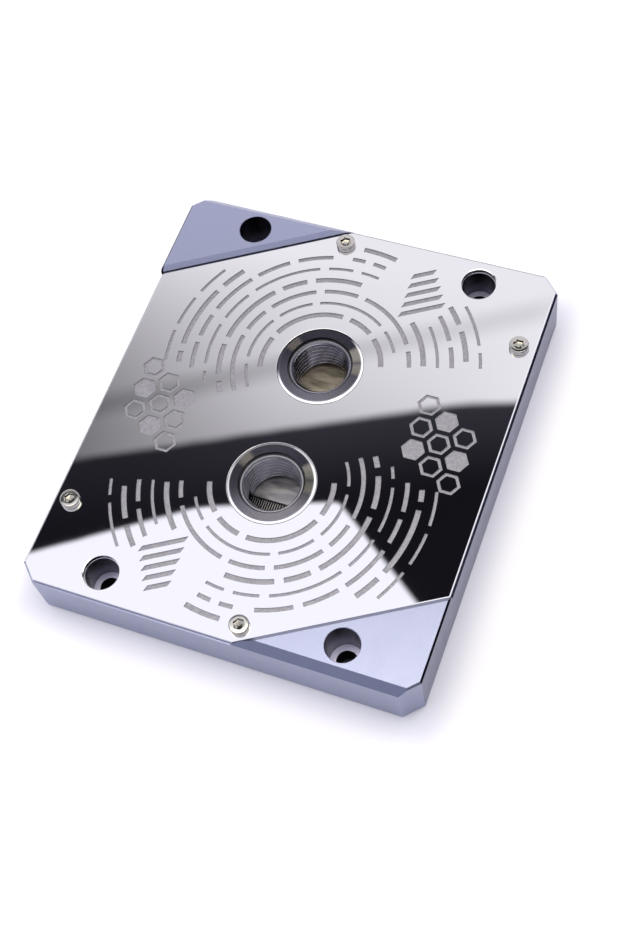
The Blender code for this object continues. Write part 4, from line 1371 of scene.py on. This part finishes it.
# %% [markdown]
# The rim of the plate and of every hole is a small profile carried along its loop. A polished edge is rolled
# over, not cut: it slopes gently for most of its width, then turns down in an arc. The slope mirrors one
# wide part of the sheet, which draws the thin white line along the edges. A constrained triangulation then
# cuts the flat face along all loops at once and says which loops hold each triangle.

# %% Rims and flat faces
BEVEL_STEPS = 5
ROLL_TILT = radians(20)
ROLL_SHARE = 0.7
TOUCHING = 1e-8


def rim_rows(loop, bevel):
    """The profile carried along a loop: a slope at the roll's tilt, then an arc from that tilt to upright,
    whose steps out and down are the changes of sine and cosine times its radius, then straight down to the
    base."""
    slope = bevel * ROLL_SHARE
    drop = slope * tan(ROLL_TILT)
    radius = (bevel - slope) / (1 - sin(ROLL_TILT))
    turn = np.linspace(ROLL_TILT, pi / 2, BEVEL_STEPS + 1)
    outs = [0.0, *(slope + radius * (np.sin(turn) - sin(ROLL_TILT))), bevel]
    levels = [PLATE_TOP, *(PLATE_TOP - drop - radius * (cos(ROLL_TILT) - np.cos(turn))), PLATE_LOW.z]
    rows = [np.column_stack([moved_out(loop, out), np.full(len(loop), z)]) for out, z in zip(outs, levels)]
    return np.concatenate(rows), len(rows)


def flat_triangles(loops):
    """The points and triangles between the loops, with the numbers of the loops that hold each triangle."""
    starts = np.cumsum([0] + [len(loop) for loop in loops])
    faces = [list(range(first, last)) for first, last in zip(starts[:-1], starts[1:])]
    coords = [Vector(point) for loop in loops for point in loop]
    points, _, triangles, _, _, owners = delaunay_2d_cdt(coords, [], faces, 1, TOUCHING, True)
    return np.array([tuple(point) for point in points]), np.array(triangles), owners


print("rows in a rim:", rim_rows(OUTLINE, PLATE_BEVEL)[1])

# %% [markdown]
# Triangles in a hole's loop are dropped, and those in an odd number of design loops are moved down to the
# etched floor, so a loop inside another leaves its middle bare. Where a lowered triangle meets one that
# stayed up, a wall joins them. The rims and a flat base close the plate.

# %% The mirror plate
ETCH_DEPTH = 0.18 * MM
BOSS_SEAM = 0.1 * MM
PORT_BEVEL = 0.08 * MM
MOUNT_BEVEL = 0.25 * MM
SCREW_HOLE_RADIUS = 1.55 * MM
WIDE_HOLE_STEPS = 120
SCREW_HOLE_STEPS = 72
PLATE_SHARP_EDGE = radians(8)  # under the turn of one bevel step, so that the mirror face stays flat


def hole_mouths():
    """The loop of each hole's mouth in the plate's face, wider than the hole by its bevel, and that
    bevel."""
    wide = [(port, BOSS_RADIUS + BOSS_SEAM, PORT_BEVEL) for port in PORTS]
    wide += [(hole, MOUNT_RADIUS, MOUNT_BEVEL) for hole in PLATE_HOLES]
    mouths = [(circle(centre, radius + bevel, WIDE_HOLE_STEPS), bevel) for centre, radius, bevel in wide]
    return mouths + [(circle(screw, SCREW_HOLE_RADIUS, SCREW_HOLE_STEPS), 0.0) for screw in PLATE_SCREWS]


def etched_face(mouths):
    """The flat face, holes left out: its top, the etched floor and its walls, and which faces are etched."""
    flat, triangles, owners = flat_triangles([OUTLINE, *[loop for loop, _ in mouths], *DESIGN])
    in_hole = np.array([any(1 <= owner <= len(mouths) for owner in owned) for owned in owners])
    lowered = np.array([sum(owner > len(mouths) for owner in owned) % 2 == 1 for owned in owners])
    top_faces = triangles[~in_hole & ~lowered]
    floor_faces = triangles[~in_hole & lowered]

    count = len(flat)
    ahead = np.stack([floor_faces, np.roll(floor_faces, -1, axis=1)], -1).reshape(-1, 2)
    on_edge = ahead[~np.isin(ahead[:, 0] * count + ahead[:, 1], ahead[:, 1] * count + ahead[:, 0])]
    walls = np.column_stack([on_edge, on_edge[:, ::-1] + count])
    levels = (PLATE_TOP, PLATE_TOP - ETCH_DEPTH)
    points = np.concatenate([np.column_stack([flat, np.full(count, level)]) for level in levels])
    faces = [*top_faces, *(floor_faces + count), *walls]
    return points, faces, np.arange(len(faces)) >= len(top_faces)


def mirror_plate():
    mouths = hole_mouths()
    face_points, faces, marks = etched_face(mouths)
    points, marks = [face_points], [marks]
    first = len(face_points)
    under = []
    for loop, bevel in [(OUTLINE, PLATE_BEVEL), *[(mouth[::-1], bevel) for mouth, bevel in mouths]]:
        rim, rows = rim_rows(loop, bevel)
        quads = grid_quads(rows, len(loop), first)
        points.append(rim)
        faces += [*quads]
        marks.append(np.zeros(len(quads)))
        first += len(rim)
        under.append(rim[-len(loop) :, :2])
    base, base_triangles, base_owners = flat_triangles([under[0], *[loop[::-1] for loop in under[1:]]])
    kept = np.array([all(owner == 0 for owner in owned) for owned in base_owners])
    points.append(np.column_stack([base, np.full(len(base), PLATE_LOW.z)]))
    faces += [*(base_triangles[kept] + first)]
    marks.append(np.zeros(kept.sum()))
    piece = closed_piece("mirror_plate", np.concatenate(points), faces, np.concatenate(marks))
    finish_piece(piece, [MIRROR, ETCHED], "top_plate", sharp=PLATE_SHARP_EDGE)


mirror_plate()
